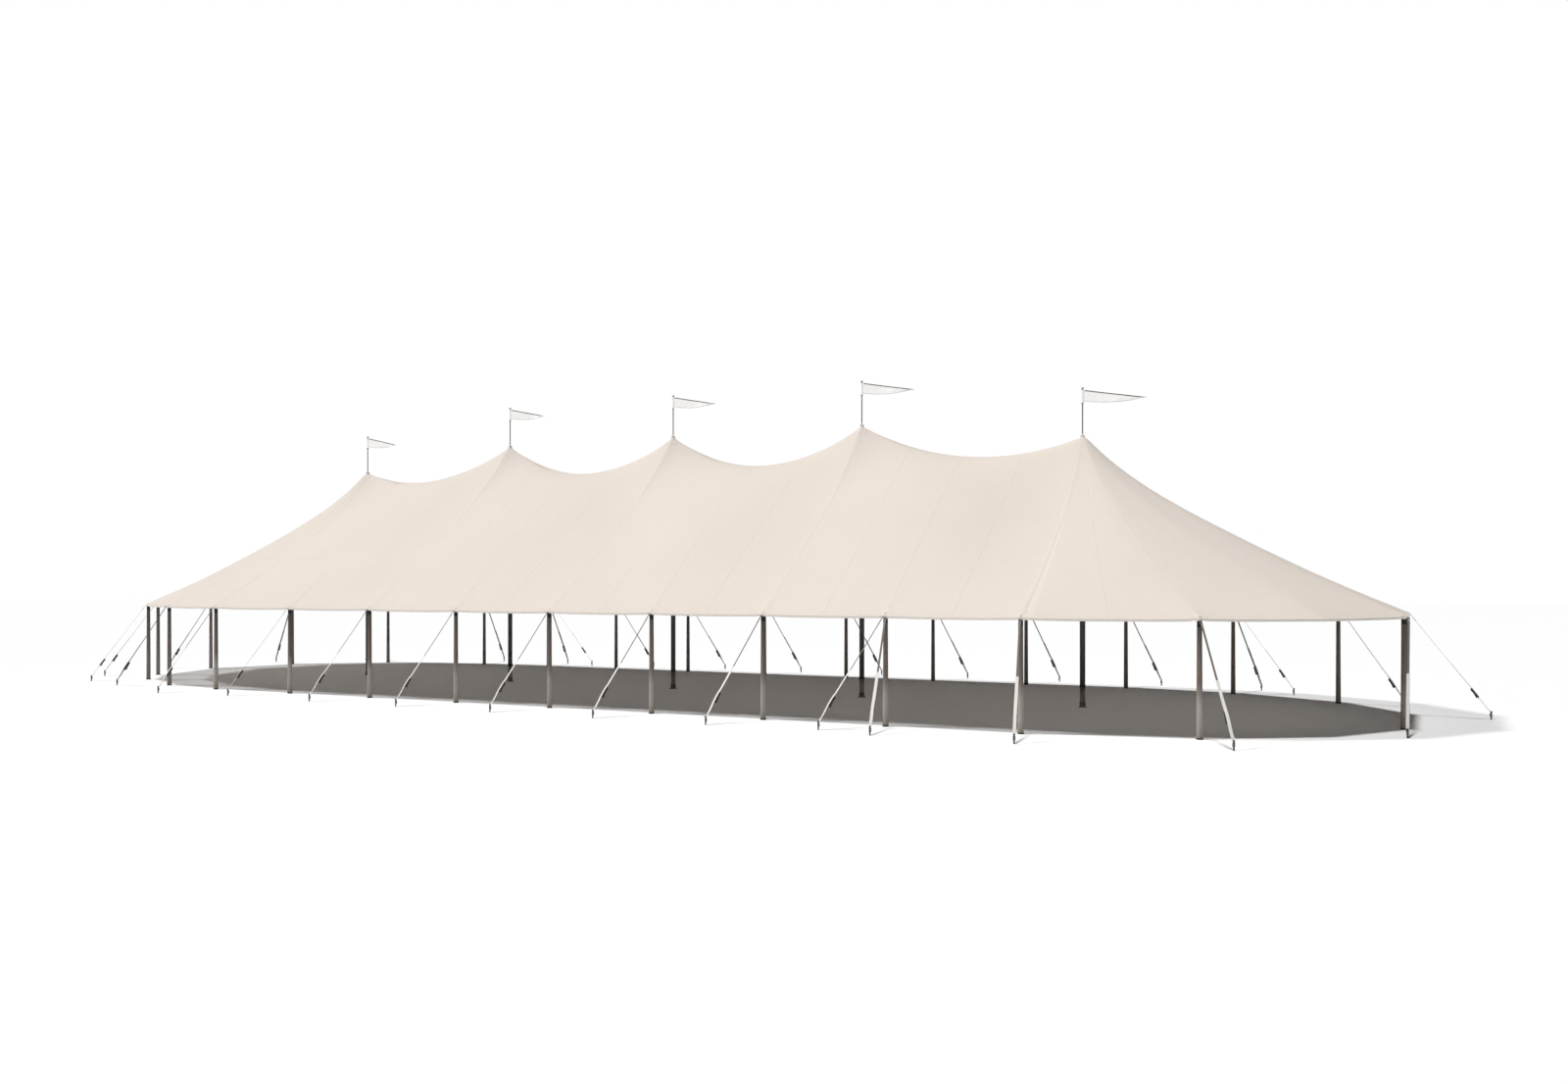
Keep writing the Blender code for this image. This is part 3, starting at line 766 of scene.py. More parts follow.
def steelFinish(name, bright, dull, rust, rustTop=0.0, rough=0.38):
    # galvanised or bare steel, with rust from the ground up where it stands in it
    look = steelLook
    made, shader, place = newFinish(name, bright)
    tone = parts(cells(place, look["spangle"])["Color"])[0]
    worn = rubbed(place, 90.0, 0.30)
    colour = tint(tone, bright, dull)
    colour = partly(worn["Grime"], 0.6, colour, [c * share for c, share in zip(dull, look["grime"])])
    rusted = span(noise(place, 65.0, 6.0, 0.7), 0.60, 0.70)
    if rustTop:
        _, _, z = parts(place)
        low = span(wavering(z, tone, 0.02), rustTop, rustTop * 0.35)
        rusted = calc("MAXIMUM", rusted, low)
    rusted = multiply(rusted, rust)
    colour = tint(rusted, colour, look["rust"])
    feed(shader.inputs["Metallic"], span(rusted, 0.0, 0.8, 1.0, 0.15))
    dress(shader, colour, scaled(rusted, 0.40, scaled(tone, 0.14, rough)))
    emboss(shader, add(worn["Grime"], multiply(rusted, 2.0)), look["depth"], 0.6)
    return made


def gripFinish(name, colour, rough):
    # moulded grips and shoes: fine pebbled skin, dusty in its hollows
    made, shader, place = newFinish(name, colour)
    pebble = cells(place, 900.0)["Distance"]
    worn = rubbed(place, 60.0, 0.40)
    shown = partly(worn["Rubbed"], 0.6, colour, [min(1.0, c * 1.9 + 0.02) for c in colour])
    shown = partly(worn["Grime"], 0.35, shown, mud)
    dress(shader, shown, scaled(worn["Rubbed"], 0.14, rough))
    emboss(shader, pebble, 0.0004, 0.5)
    return made


paintLook = {
    "ivory": (0.88, 0.82, 0.76),
    "soiled": (0.60, 0.54, 0.47),
    "primer": (0.52, 0.49, 0.46),
    "depth": 0.0003,
    "coat": 0.2,
}


def paintedFinish(name):
    # brushed paint, chalky, a little soiled and rubbed to the primer here and there
    look = paintLook
    made, shader, place = newFinish(name, look["ivory"])
    worn = rubbed(place, 75.0, 0.22)
    brushed = noise(stretched(place, (220, 220, 26)), 1.0, 3.0)
    colour = partly(worn["Grime"], 0.35, look["ivory"], look["soiled"])
    colour = partly(worn["Rubbed"], 0.25, colour, look["primer"])
    dress(shader, colour, span(brushed, 0.3, 0.7, 0.48, 0.62))
    shader.inputs["Coat Weight"].default_value = look["coat"]
    emboss(shader, brushed, look["depth"], 0.4)
    return made


ropeLook = {
    "hemp": (0.62, 0.57, 0.48),
    "pale": (0.68, 0.63, 0.54),
    "shade": (0.42, 0.37, 0.29),
    "lay": 1500.0,
    "depth": 0.0005,
}


def ropeFinish():
    look = ropeLook
    made, shader, place = newFinish("lacingRope", look["hemp"])
    x, y, z = parts(place)
    lay = calc("SINE", multiply(add(add(x, y), z), look["lay"]))
    mottled = noise(place, 130.0, 3.0)
    colour = tint(scaled(lay, 0.25, mottled), look["pale"], look["shade"])
    dress(shader, colour, span(mottled, 0.3, 0.7, 0.74, 0.9))
    emboss(shader, lay, look["depth"], 0.8)
    return made


finish = {
    "cloth": sailclothFinish("ivorySailcloth"),
    "seam": sailclothFinish("sewnSeamTape", strip=True),
    "pennant": pennantFinish(),
    "hem": hemFinish("pennantTape", "grey"),
    "hemPale": hemFinish("pennantHem", "pale"),
    "eave": webbingFinish("eaveWebbing", "eave"),
    "belt": webbingFinish("beltWebbing", "belt"),
    "guy": webbingFinish("guyWebbing", "guy"),
    "sleeve": webbingFinish("guySleeve", "sleeve", dusty=0.30),
    "thread": webbingFinish("sewingThread", "thread"),
    "sidePole": sidePoleFinish(),
    "mast": mastFinish(),
    "galvanised": steelFinish("galvanisedSteel", (0.56, 0.57, 0.58), (0.38, 0.39, 0.40), rust=0.35),
    "blackened": steelFinish("blackenedSteel", (0.065, 0.062, 0.060), (0.040, 0.038, 0.037),
                             rust=0.30, rough=0.5),
    "cap": paintedFinish("ivoryPaint"),
    "ratchet": steelFinish("ratchetSteel", (0.105, 0.100, 0.097), (0.055, 0.052, 0.050), rust=0.45),
    "stake": steelFinish("stakeSteel", (0.085, 0.080, 0.076), (0.045, 0.042, 0.040),
                         rust=0.75, rustTop=0.045, rough=0.5),
    "flagpole": steelFinish("flagpoleMetal", (0.50, 0.51, 0.52), (0.40, 0.41, 0.42), rust=0.12, rough=0.34),
    "grip": gripFinish("handleGrip", (0.035, 0.033, 0.032), rough=0.52),
    "shoe": gripFinish("poleShoe", (0.075, 0.068, 0.062), rough=0.74),
    "boot": steelFinish("mastBoot", (0.25, 0.235, 0.22), (0.17, 0.16, 0.15), rust=0.55, rough=0.6),
    "rope": ropeFinish(),
}
print("finishes made,", len(finish))


# meshes and node trees that place and sweep shapes

def quads(rows, columns):
    r, c = np.meshgrid(np.arange(rows - 1), np.arange(columns - 1), indexing="ij")
    a = (r * columns + c).ravel()
    return np.stack([a, a + columns, a + columns + 1, a + 1], 1)


def smoothed(mesh, sharp):
    mesh.shade_smooth()
    if sharp:
        mesh.set_sharp_from_angle(angle=math.radians(sharp))


def pieceFrom(name, points, faces, material, uv=None, uvName="strip", perLoop=None, sharp=None):
    mesh = bpy.data.meshes.new(name)
    if isinstance(faces, np.ndarray):
        faces = faces.tolist()
    mesh.from_pydata(np.asarray(points, float).reshape(-1, 3).tolist(), [], faces)
    if uv is not None or perLoop is not None:
        layer = mesh.uv_layers.new(name=uvName)
        if perLoop is None:
            order = np.empty(len(mesh.loops), int)
            mesh.loops.foreach_get("vertex_index", order)
            perLoop = np.asarray(uv, float).reshape(-1, 2)[order]
        layer.data.foreach_set("uv", np.asarray(perLoop, np.float32).ravel())
    smoothed(mesh, sharp)
    mesh.materials.append(material)
    return inScene(name, mesh)


def meshFrom(name, bm):
    bmesh.ops.recalc_face_normals(bm, faces=bm.faces)
    mesh = bpy.data.meshes.new(name)
    bm.to_mesh(mesh)
    bm.free()
    return mesh


def facedOut(piece):
    bm = bmesh.new()
    bm.from_mesh(piece.data)
    bmesh.ops.recalc_face_normals(bm, faces=bm.faces)
    bm.to_mesh(piece.data)
    bm.free()
    return piece


def joined(name, pieces):
    # several pieces as one, with all their maps and materials kept
    for other in bpy.context.selected_objects:
        other.select_set(False)
    for piece in pieces:
        piece.select_set(True)
    bpy.context.view_layer.objects.active = pieces[0]
    if len(pieces) > 1:
        bpy.ops.object.join()
    made = bpy.context.view_layer.objects.active
    made.name = name
    made.data.name = name
    made.select_set(False)
    return made


def spread(count, weight, low=0.0, high=1.0):
    # values from low to high, closer together where weight is high
    fine = np.linspace(low, high, 4001)
    total = np.concatenate([[0], np.cumsum((weight(fine)[1:] + weight(fine)[:-1]) / 2)])
    return np.interp(np.linspace(0, total[-1], count + 1), total, fine)


def newTree(name, takes):
    tree = bpy.data.node_groups.new(name, "GeometryNodeTree")
    tree.interface.new_socket("Geometry", in_out="INPUT", socket_type="NodeSocketGeometry")
    named = takeIn(tree, {**takes, "Finish": "Material"})
    tree.interface.new_socket("Geometry", in_out="OUTPUT", socket_type="NodeSocketGeometry")
    return tree, tree.nodes.new("NodeGroupInput").outputs, tree.nodes.new("NodeGroupOutput").inputs, named


def endTree(take, give, shape):
    real = put(shape, "GeometryNodeRealizeInstances", {0: shape}).outputs[0]
    last = put(shape, "GeometryNodeSetMaterial", {"Geometry": real, "Material": take["Finish"]})
    feed(give[0], last.outputs[0])


def madeBy(name, carrier, maker, values, sharp=35.0):
    # runs a tree on its carrier and keeps the plain mesh
    tree, named = maker
    change = carrier.modifiers.new(name, "NODES")
    change.node_group = tree
    for label, value in values.items():
        change[named[label]] = value
    bpy.context.view_layer.update()
    ready = carrier.evaluated_get(bpy.context.evaluated_depsgraph_get())
    mesh = bpy.data.meshes.new_from_object(ready)
    mesh.name = name
    smoothed(mesh, sharp)
    bpy.data.objects.remove(carrier, do_unlink=True)
    return inScene(name, mesh)


def makeSetOut():
    # copies of a small shape at marked points, each turned the way its point says
    takes = {"Shape": "Object", "Size": 1.0, "Uneven": 0.0, "Seed": 1}
    tree, take, give, named = newTree("setOutShapes", takes)
    turn = put(tree, "GeometryNodeInputNamedAttribute", {"Name": "turn"}, data_type="FLOAT_VECTOR")
    turned = put(tree, "FunctionNodeEulerToRotation", {0: turn.outputs[0]}).outputs[0]
    shape = put(tree, "GeometryNodeObjectInfo", {"Object": take["Shape"]}).outputs["Geometry"]
    least, most = subtract(1.0, take["Uneven"]), add(1.0, take["Uneven"])
    chance = put(tree, "FunctionNodeRandomValue", data_type="FLOAT")
    for key, value in ((2, least), (3, most), ("Seed", take["Seed"])):
        feed(chance.inputs[key], value)
    size = multiply(chance.outputs[1], take["Size"])
    wanted = {"Points": take["Geometry"], "Instance": shape, "Rotation": turned, "Scale": size}
    endTree(take, give, put(tree, "GeometryNodeInstanceOnPoints", wanted).outputs[0])
    return tree, named


def captured(label, geometry, value):
    kept = put(geometry, "GeometryNodeCaptureAttribute")
    kept.capture_items.new("FLOAT", label)
    feed(kept.inputs[0], geometry)
    feed(kept.inputs[1], value)
    return kept.outputs


def swept(line, section, **more):
    wanted = {"Curve": line, "Profile Curve": section}
    wanted.update(more)
    wanted["Fill Caps"] = True
    return put(line, "GeometryNodeCurveToMesh", wanted).outputs[0]


def makeStrapTree():
    # webbing swept along its lines, with its own map: across and along, in metres
    takes = {"Width": 0.02, "Thickness": 0.002}
    tree, take, give, named = newTree("webbingAlongLines", takes)
    lay = put(tree, "GeometryNodeSetCurveNormal", {"Curve": take["Geometry"]}, mode="Z_UP").outputs[0]
    run = captured("Along", lay, put(tree, "GeometryNodeSplineParameter").outputs["Length"])
    wanted = {"Width": take["Width"], "Height": take["Thickness"]}
    section = put(tree, "GeometryNodeCurvePrimitiveQuadrilateral", wanted).outputs[0]
    wanted = {"Curve": section, "Radius": multiply(take["Thickness"], 0.42)}
    rounded = put(tree, "GeometryNodeFilletCurve", wanted, mode="POLY")
    feed(rounded.inputs["Count"], 1)
    x, _, _ = parts(put(tree, "GeometryNodeInputPosition").outputs[0])
    side = captured("Across", rounded.outputs[0], x)
    strap = swept(run[0], side[0])
    spot = put(tree, "ShaderNodeCombineXYZ", {0: side[1], 1: run[1]}).outputs[0]
    wanted = {"Geometry": strap, "Name": "strip", "Value": spot}
    mapped = put(tree, "GeometryNodeStoreNamedAttribute", wanted, data_type="FLOAT2", domain="CORNER")
    endTree(take, give, mapped.outputs[0])
    return tree, named


def makePoleTree():
    # a tapered pole that stands on the ground, a little uneven as turned timber is
    takes = {"Height": 1.2, "Foot Radius": 0.028, "Top Radius": 0.021, "Uneven": 0.02, "Seed": 1}
    tree, take, give, named = newTree("turnedPole", takes)
    top = put(tree, "ShaderNodeCombineXYZ", {2: take["Height"]}).outputs[0]
    line = put(tree, "GeometryNodeCurvePrimitiveLine", {"End": top}).outputs[0]
    cut = put(tree, "GeometryNodeResampleCurve", {"Curve": line})
    feed(cut.inputs["Count"], 30)
    factor = put(tree, "GeometryNodeSplineParameter").outputs["Factor"]
    taper = span(factor, 0.0, 1.0, take["Foot Radius"], take["Top Radius"])
    place = add(multiply(factor, 7.0), take["Seed"])
    lumps = put(tree, "ShaderNodeTexNoise", {"W": place, "Scale": 1.0}, noise_dimensions="1D")
    swell = scaled(subtract(lumps.outputs[0], 0.5), take["Uneven"], 1.0)
    radius = multiply(taper, swell)
    circle = put(tree, "GeometryNodeCurvePrimitiveCircle", {"Resolution": 28, "Radius": 1.0}).outputs[0]
    endTree(take, give, swept(cut.outputs[0], circle, Scale=radius))
    return tree, named


setOutTree, strapTree, poleTree = makeSetOut(), makeStrapTree(), makePoleTree()
upward = Vector((0, 0, 1))


def turnTo(along, up=upward):
    # Euler turn that lays a shape's Y along one way and its Z towards another
    y = Vector(along).normalized()
    x = y.cross(Vector(up)).normalized()
    z = x.cross(y)
    return Matrix((x, y, z)).transposed().to_euler()


def facing(turn):
    return turnTo((math.cos(turn), math.sin(turn), 0))


def setOut(name, spots, shape, material, size=1.0, uneven=0.0, seed=1, sharp=35.0):
    mesh = bpy.data.meshes.new(name + "Spots")
    mesh.from_pydata([tuple(p) for p, _ in spots], [], [])
    turns = mesh.attributes.new("turn", "FLOAT_VECTOR", "POINT")
    turns.data.foreach_set("vector", [c for _, turn in spots for c in turn])
    values = {"Shape": shape, "Size": size, "Uneven": uneven, "Seed": seed, "Finish": material}
    made = madeBy(name, inScene(name + "Spots", mesh), setOutTree, values, sharp)
    if "turn" in made.data.attributes:
        made.data.attributes.remove(made.data.attributes["turn"])
    return made


def webbingAlong(name, lines, width, thickness, material):
    curve = bpy.data.curves.new(name, "CURVE")
    curve.dimensions = "3D"
    for line in lines:
        spline = curve.splines.new("POLY")
        spline.points.add(len(line) - 1)
        for point, place in zip(spline.points, line):
            point.co = (*place, 1.0)
    values = {"Width": width, "Thickness": thickness, "Finish": material}
    return madeBy(name, inScene(name, curve), strapTree, values)


patterns = []  # shapes that are only copied, removed at the end


def pattern(name, bm):
    made = inScene(name, meshFrom(name, bm))
    patterns.append(made)
    return made


def lathe(bm, profile, sides, place=(0, 0, 0)):
    # a turned shape from (radius, height) points; points on the axis close it
    rings = []
    for radius, height in profile:
        if radius < 1e-7:
            rings.append([bm.verts.new(Vector(place) + Vector((0, 0, height)))])
            continue
        ring = []
        for k in range(sides):
            t = math.tau * k / sides
            out = Vector((radius * math.cos(t), radius * math.sin(t), height))
            ring.append(bm.verts.new(Vector(place) + out))
        rings.append(ring)
    for low, high in zip(rings, rings[1:]):
        for k in range(sides):
            a, b = low[k % len(low)], low[(k + 1) % len(low)]
            c, d = high[(k + 1) % len(high)], high[k % len(high)]
            corners = [v for i, v in enumerate((a, b, c, d)) if v not in (a, b, c, d)[:i]]
            if len(corners) > 2:
                bm.faces.new(corners)


def lathed(name, sides, *profiles):
    bm = bmesh.new()
    for profile in profiles:
        lathe(bm, profile, sides)
    return pattern(name, bm)


def prism(bm, outline, low, high):
    # an outline in Y and Z, carried along X
    first = [bm.verts.new((low, y, z)) for y, z in outline]
    last = [bm.verts.new((high, y, z)) for y, z in outline]
    bm.faces.new(first[::-1])
    bm.faces.new(last)
    for a, b, c, d in zip(first, first[1:] + first[:1], last[1:] + last[:1], last):
        bm.faces.new((a, b, c, d))


def roundOutline(y, z, count, reach):
    # reach is a radius, or gives one for each corner
    outline = []
    for k in range(count):
        t, r = math.tau * k / count, reach(k) if callable(reach) else reach
        outline.append((y + r * math.cos(t), z + r * math.sin(t)))
    return outline


def wireRing(bm, halfAlong, halfAcross, wire, turns, sides):
    # a closed ring of wire lying in X and Y, longer one way if wanted
    rings = []
    for k in range(turns):
        t = math.tau * k / turns
        centre = Vector((halfAcross * math.cos(t), halfAlong * math.sin(t), 0))
        out = Vector((math.cos(t) / halfAcross, math.sin(t) / halfAlong, 0)).normalized()
        ring = []
        for u in (math.tau * j / sides for j in range(sides)):
            ring.append(bm.verts.new(centre + out * wire * math.cos(u) + upward * wire * math.sin(u)))
        rings.append(ring)
    for first, last in zip(rings, rings[1:] + rings[:1]):
        for j in range(sides):
            k = (j + 1) % sides
            bm.faces.new((first[j], last[j], last[k], first[k]))


def ringPattern(name, *sizes):
    bm = bmesh.new()
    wireRing(bm, *sizes)
    return pattern(name, bm)


print("tools ready")


# canopy

canopyLook = {
    "bayColumns": 88,
    "slopeRows": 58,
    "facetColumns": 14,
    "thickness": 0.0014,
    "mastHole": 0.0175,
    "holeReach": 0.12,
    "closerAt": {"ridge": (3.5, 0.16), "eave": (2.2, 0.18), "mast": (3.5, 0.22), "middle": (1.6, 0.13)},
    "endFlat": (7.8, 4.45),  # eave to eave over the peak, and the peak to the end's eave
}


def rowWeight(share):
    (ridge, ridgeFade), (eave, eaveFade) = canopyLook["closerAt"]["ridge"], canopyLook["closerAt"]["eave"]
    near = ridge * np.exp(-share * edgeReach / ridgeFade)
    return 1.0 + near + eave * np.exp(-(1 - share) * edgeReach / eaveFade)


def columnWeight(x):
    (mast, mastFade), (middle, middleFade) = canopyLook["closerAt"]["mast"], canopyLook["closerAt"]["middle"]
    off = np.abs((x + tent["outerMast"]) % tent["mastBay"] - tent["bay"])
    return 1.0 + mast * np.exp(-(tent["bay"] - off) / mastFade) + middle * np.exp(-(off / middleFade) ** 2)


slopeSteps = spread(canopyLook["slopeRows"], rowWeight)
slopeBoth = np.concatenate([-slopeSteps[::-1], slopeSteps[1:]])  # from eave to eave


def clearOfMasts(x, y):
    # moves points away from the masts, so that the cloth has a hole for each pin
    reach, hole = canopyLook["holeReach"], canopyLook["mastHole"]
    for mastX, _ in masts:
        r = np.hypot(x - mastX, y)
        near = (r < reach) & (r > 1e-9)
        scale = np.where(near, (hole + r * (reach - hole) / reach) / np.maximum(r, 1e-9), 1.0)
        x, y = mastX + (x - mastX) * scale, y * scale
    return x, y


def onCloth(x, y, lift=0.0):
    return np.stack([x, y, clothTop(x, y) + lift], 2)


def arcAlong(points):
    steps = np.linalg.norm(np.diff(points, axis=1), axis=2)
    return np.concatenate([np.zeros((len(points), 1)), np.cumsum(steps, axis=1)], axis=1)


def addShare(piece, values):
    share = piece.data.attributes.new("share", "FLOAT", "POINT")
    share.data.foreach_set("value", np.asarray(values, np.float32).ravel())
    return piece


def makeBay(i):
    low, high = masts[i][0] + tent["gap"] / 2, masts[i + 1][0] - tent["gap"] / 2
    xs = spread(canopyLook["bayColumns"], columnWeight, low, high)
    x, y = clearOfMasts(*np.meshgrid(xs, slopeBoth * edgeReach, indexing="ij"))
    points = onCloth(x, y)
    along = arcAlong(points)
    along -= along[:, [len(slopeBoth) // 2]]
    uv = np.stack([x, along], 2)
    piece = pieceFrom(f"sailclothBay_{i + 1}", points, quads(*x.shape), finish["cloth"], uv, "cloth")
    return addShare(piece, np.abs(y) / edgeReach)


def makeEnd(side):
    corners, along, _, _ = endShapes[side]
    columns = canopyLook["facetColumns"]
    steps = (np.arange(columns) / columns)[:, None]
    edge = np.concatenate([(corners[:-1, None] + along[:, None] * steps).reshape(-1, 2), corners[-1:]])
    start = canopyLook["mastHole"] / tent["halfWidth"]
    shares = start + (1 - start) * slopeSteps
    x = side * (tent["outerMast"] + tent["gap"] / 2 + shares[None, :] * edge[:, [0]])
    y = side * shares[None, :] * edge[:, [1]]
    points = onCloth(x, y)
    down = arcAlong(points)
    faces = quads(*x.shape)[:, [0, 3, 2, 1]]
    column, row = faces // x.shape[1], faces % x.shape[1]
    facet = column.min(1, keepdims=True) // columns
    place = (column - facet * columns) / columns - 0.5
    wide = np.linalg.norm(along, axis=1)[facet]
    uv = np.stack([place * wide * shares[row] + facet * 3.0, down[column, row]], 2)
    name = "sailclothRightEnd" if side > 0 else "sailclothLeftEnd"
    piece = pieceFrom(name, points, faces, finish["cloth"], uvName="cloth", perLoop=uv)
    return addShare(piece, np.broadcast_to(shares, x.shape))


def sheetArea(piece):
    return sum(face.area for face in piece.data.polygons)


def thicken(piece, thickness, offset=-1):
    change = piece.modifiers.new("thickness", "SOLIDIFY")
    change.thickness, change.offset = thickness, offset
    return change


canopy = [makeEnd(-1)] + [makeBay(i) for i in bayNumbers] + [makeEnd(1)]
clothNodes = ["sailcloth_left_end"] + [f"sailcloth_bay_{i + 1}" for i in bayNumbers] + ["sailcloth_right_end"]
print("canopy cut, areas", [round(sheetArea(piece), 2) for piece in canopy])


# what is sewn to the cloth

sewnLook = {
    "seamWidth": 0.014,
    "flapWidth": 0.058,
    "flapStart": 0.060,
    "hemWidth": 0.030,
    "hemInset": 0.016,
    "hemStep": 0.035,
    "lift": 0.0010,
    "flapLift": 0.9,  # each as a share of the lift
    "hemLift": 0.8,
    "patchLift": 1.2,
    "stitchLift": 1.5,
    "peakLift": 2.8,
    "stripEdge": (0.4, 0.93, 1.0),  # where a strip bends down, as shares of its half width
    "edgeSink": 0.0005,
    "rimSink": 0.0004,
    "beltWidth": 0.022,
    "beltDrop": 0.0030,
    "seamStart": 0.035,  # how far down the slope the ends' strips start
    "midSeamStart": 0.16,
    "beltStart": 0.03,
    "patchReach": 0.150,
    "patchHalf": 0.100,
    "patchEdge": 0.004,
    "patchStitch": (0.0125, 0.007),  # pitch and inset
    "peakReach": 0.115,
    "peakLobe": 0.016,
    "peakLobes": 8,
    "peakStitch": (0.0120, 0.008),
    "peakInner": 0.062,  # radius of the star's inner row of stitches
    "peakStitchLift": 0.0018,
}


def clothStrip(path, width, lift, below=False):
    # a strip over the cloth along (x, y) points, its edges just in the surface
    path = np.asarray(path, float)
    way = np.gradient(path, axis=0)
    way /= np.linalg.norm(way, axis=1)[:, None]
    beside = np.stack([way[:, 1], -way[:, 0]], 1)
    half = np.array(sewnLook["stripEdge"])
    across = np.concatenate([-half[::-1], half])
    rise = np.where(np.abs(across) < 1, lift, -sewnLook["edgeSink"])
    if below:
        rise = -canopyLook["thickness"] - rise
    spots = path[:, None] + beside[:, None] * (across * width / 2)[:, None]
    points = onCloth(spots[..., 0], spots[..., 1], rise)
    shape = points.shape[:2]
    along = arcAlong(points[:, 2][None])[0]
    uv = np.stack([np.broadcast_to(across * width / 2, shape), np.broadcast_to(along[:, None], shape)], 2)
    faces = quads(*shape)
    return points.reshape(-1, 3), faces if below else faces[:, ::-1], uv.reshape(-1, 2)


def stripsTogether(name, strips, material, uvName="strip"):
    points, faces, maps = zip(*strips)
    starts = np.cumsum([0] + [len(p) for p in points])
    faces = np.concatenate([f + start for f, start in zip(faces, starts)])
    return pieceFrom(name, np.concatenate(points), faces, material, np.concatenate(maps), uvName)


def bayPath(x, low=-1.0, high=1.0):
    ys = slopeBoth[(slopeBoth >= low) & (slopeBoth <= high)]
    return np.stack([np.full(len(ys), x), ys * (edgeReach - 0.002)], 1)


def endPath(side, point, start):
    # from near the peak to a point of the eave, seen from that end's mast
    shares = slopeSteps[slopeSteps > start] * (1 - 0.0006)
    return np.stack([side * (tent["outerMast"] + shares * point[0]), side * shares * point[1]], 1)


def flapStrips(i):
    start, look = sewnLook["flapStart"] / edgeReach, sewnLook
    paths = [bayPath(masts[i][0], start, 1.0), bayPath(masts[i][0], -1.0, -start)]
    return [clothStrip(path, look["flapWidth"], look["lift"] * look["flapLift"]) for path in paths]


def hemStrip(a, b):
    look = sewnLook
    count = max(2, int((b - a).length / look["hemStep"]))
    out = wayOut(a, b)
    path = [tuple(a.lerp(b, k / count) - out * look["hemInset"]) for k in range(count + 1)]
    return clothStrip(path, look["hemWidth"], look["lift"] * look["hemLift"])


def seamStrips(paths):
    return [clothStrip(path, sewnLook["seamWidth"], sewnLook["lift"]) for path in paths]


def sewBay(i):
    x0, x1 = masts[i][0], masts[i + 1][0]
    strips = seamStrips(bayPath(x0 + tent["bay"] * k / 2) for k in (1, 2, 3)) + flapStrips(i)
    strips.append(hemStrip(Vector((x0, -edgeReach)), Vector((x1, -edgeReach))))
    strips.append(hemStrip(Vector((x1, edgeReach)), Vector((x0, edgeReach))))
    return stripsTogether(f"baySeams_{i + 1}", strips, finish["seam"])


def sewEnd(side):
    corners, along, _, _ = endShapes[side]
    strips = seamStrips(endPath(side, corner, sewnLook["seamStart"]) for corner in corners[1:-1])
    strips += seamStrips(endPath(side, corner + way / 2, sewnLook["midSeamStart"])
                         for corner, way in zip(corners, along))
    edge = [Vector((side * (tent["outerMast"] + c[0]), side * c[1])) for c in corners]
    strips += [hemStrip(a, b) for a, b in zip(edge, edge[1:])]
    if side > 0:
        strips += flapStrips(mastNumbers[-1])
    return stripsTogether("rightEndSeams" if side > 0 else "leftEndSeams", strips, finish["seam"])


def belts():
    # the load bearing webbing under the cloth, from each pole to the ridge or the peak
    paths = {"leftEndBelts": [], "bayBelts": [], "rightEndBelts": []}
    for i in bayNumbers:
        paths["bayBelts"].append(bayPath(masts[i][0] + tent["bay"]))
    for side, name in ((-1, "leftEndBelts"), (1, "rightEndBelts")):
        for corner in endShapes[side][0][1:-1]:
            paths[name].append(endPath(side, corner, sewnLook["beltStart"]))
    made = []
    for name, lines in paths.items():
        strips = [clothStrip(line, sewnLook["beltWidth"], sewnLook["beltDrop"], below=True) for line in lines]
        made.append(stripsTogether(name, strips, finish["belt"]))
    return made


def patchAt(point, inward, rows=9, columns=14):
    # a shield shaped patch on the cloth round a pole, point up the slope
    half, reach = sewnLook["patchHalf"], sewnLook["patchReach"]
    edge = Vector(point) - Vector(inward) * (tent["overhang"] - sewnLook["patchEdge"])
    beside = Vector((inward[1], -inward[0]))
    wide, deep = np.meshgrid(np.linspace(-1, 1, columns + 1), np.linspace(0, 1, rows + 1), indexing="ij")
    tip = reach * (1 - np.abs(wide) ** 2.6) ** 0.8
    x = edge.x + beside.x * wide * half + inward[0] * deep * tip
    y = edge.y + beside.y * wide * half + inward[1] * deep * tip
    rim = (deep > 0.99) | (np.abs(wide) > 0.99)
    lift = np.where(rim, -sewnLook["rimSink"], sewnLook["lift"] * sewnLook["patchLift"])
    points = onCloth(x, y, lift).reshape(-1, 3)
    uv = np.stack([wide * half, deep * reach], 2).reshape(-1, 2)
    return (points, quads(*x.shape), uv), np.stack([x[:, -1], y[:, -1]], 1)


def stitchSpots(path, pitch, inset, centre):
    # places and turns of stitches along a path on the cloth, drawn in towards a centre
    centre, lift = Vector(centre), sewnLook["lift"] * sewnLook["stitchLift"]
    path = [Vector(p) for p in path]
    path = [p + (centre - p).normalized() * inset for p in path]
    spots, left = [], 0.0
    for a, b in zip(path, path[1:]):
        length = (b - a).length
        while left < length:
            p, q = a.lerp(b, left / length), a.lerp(b, min(1.0, left / length + 0.2))
            low, high = clothSpot(p.x, p.y, lift), clothSpot(q.x, q.y, lift)
            if (high - low).length > 1e-5:
                spots.append((low, turnTo(high - low)))
            left += pitch
        left -= length
    return spots


def makeStitch():
    # one long low stitch, a few dozen faces at most
    bm = bmesh.new()
    outline = [(-0.0042, -0.0004), (0.0042, -0.0004), (0.0030, 0.0006), (0.0, 0.0010), (-0.0030, 0.0006)]
    prism(bm, outline, -0.0006, 0.0006)
    return pattern("stitch", bm)


stitch = makeStitch()


def stitched(name, spots, size=1.0, uneven=0.0, seed=1):
    return setOut(name, spots, stitch, finish["thread"], size, uneven, seed)


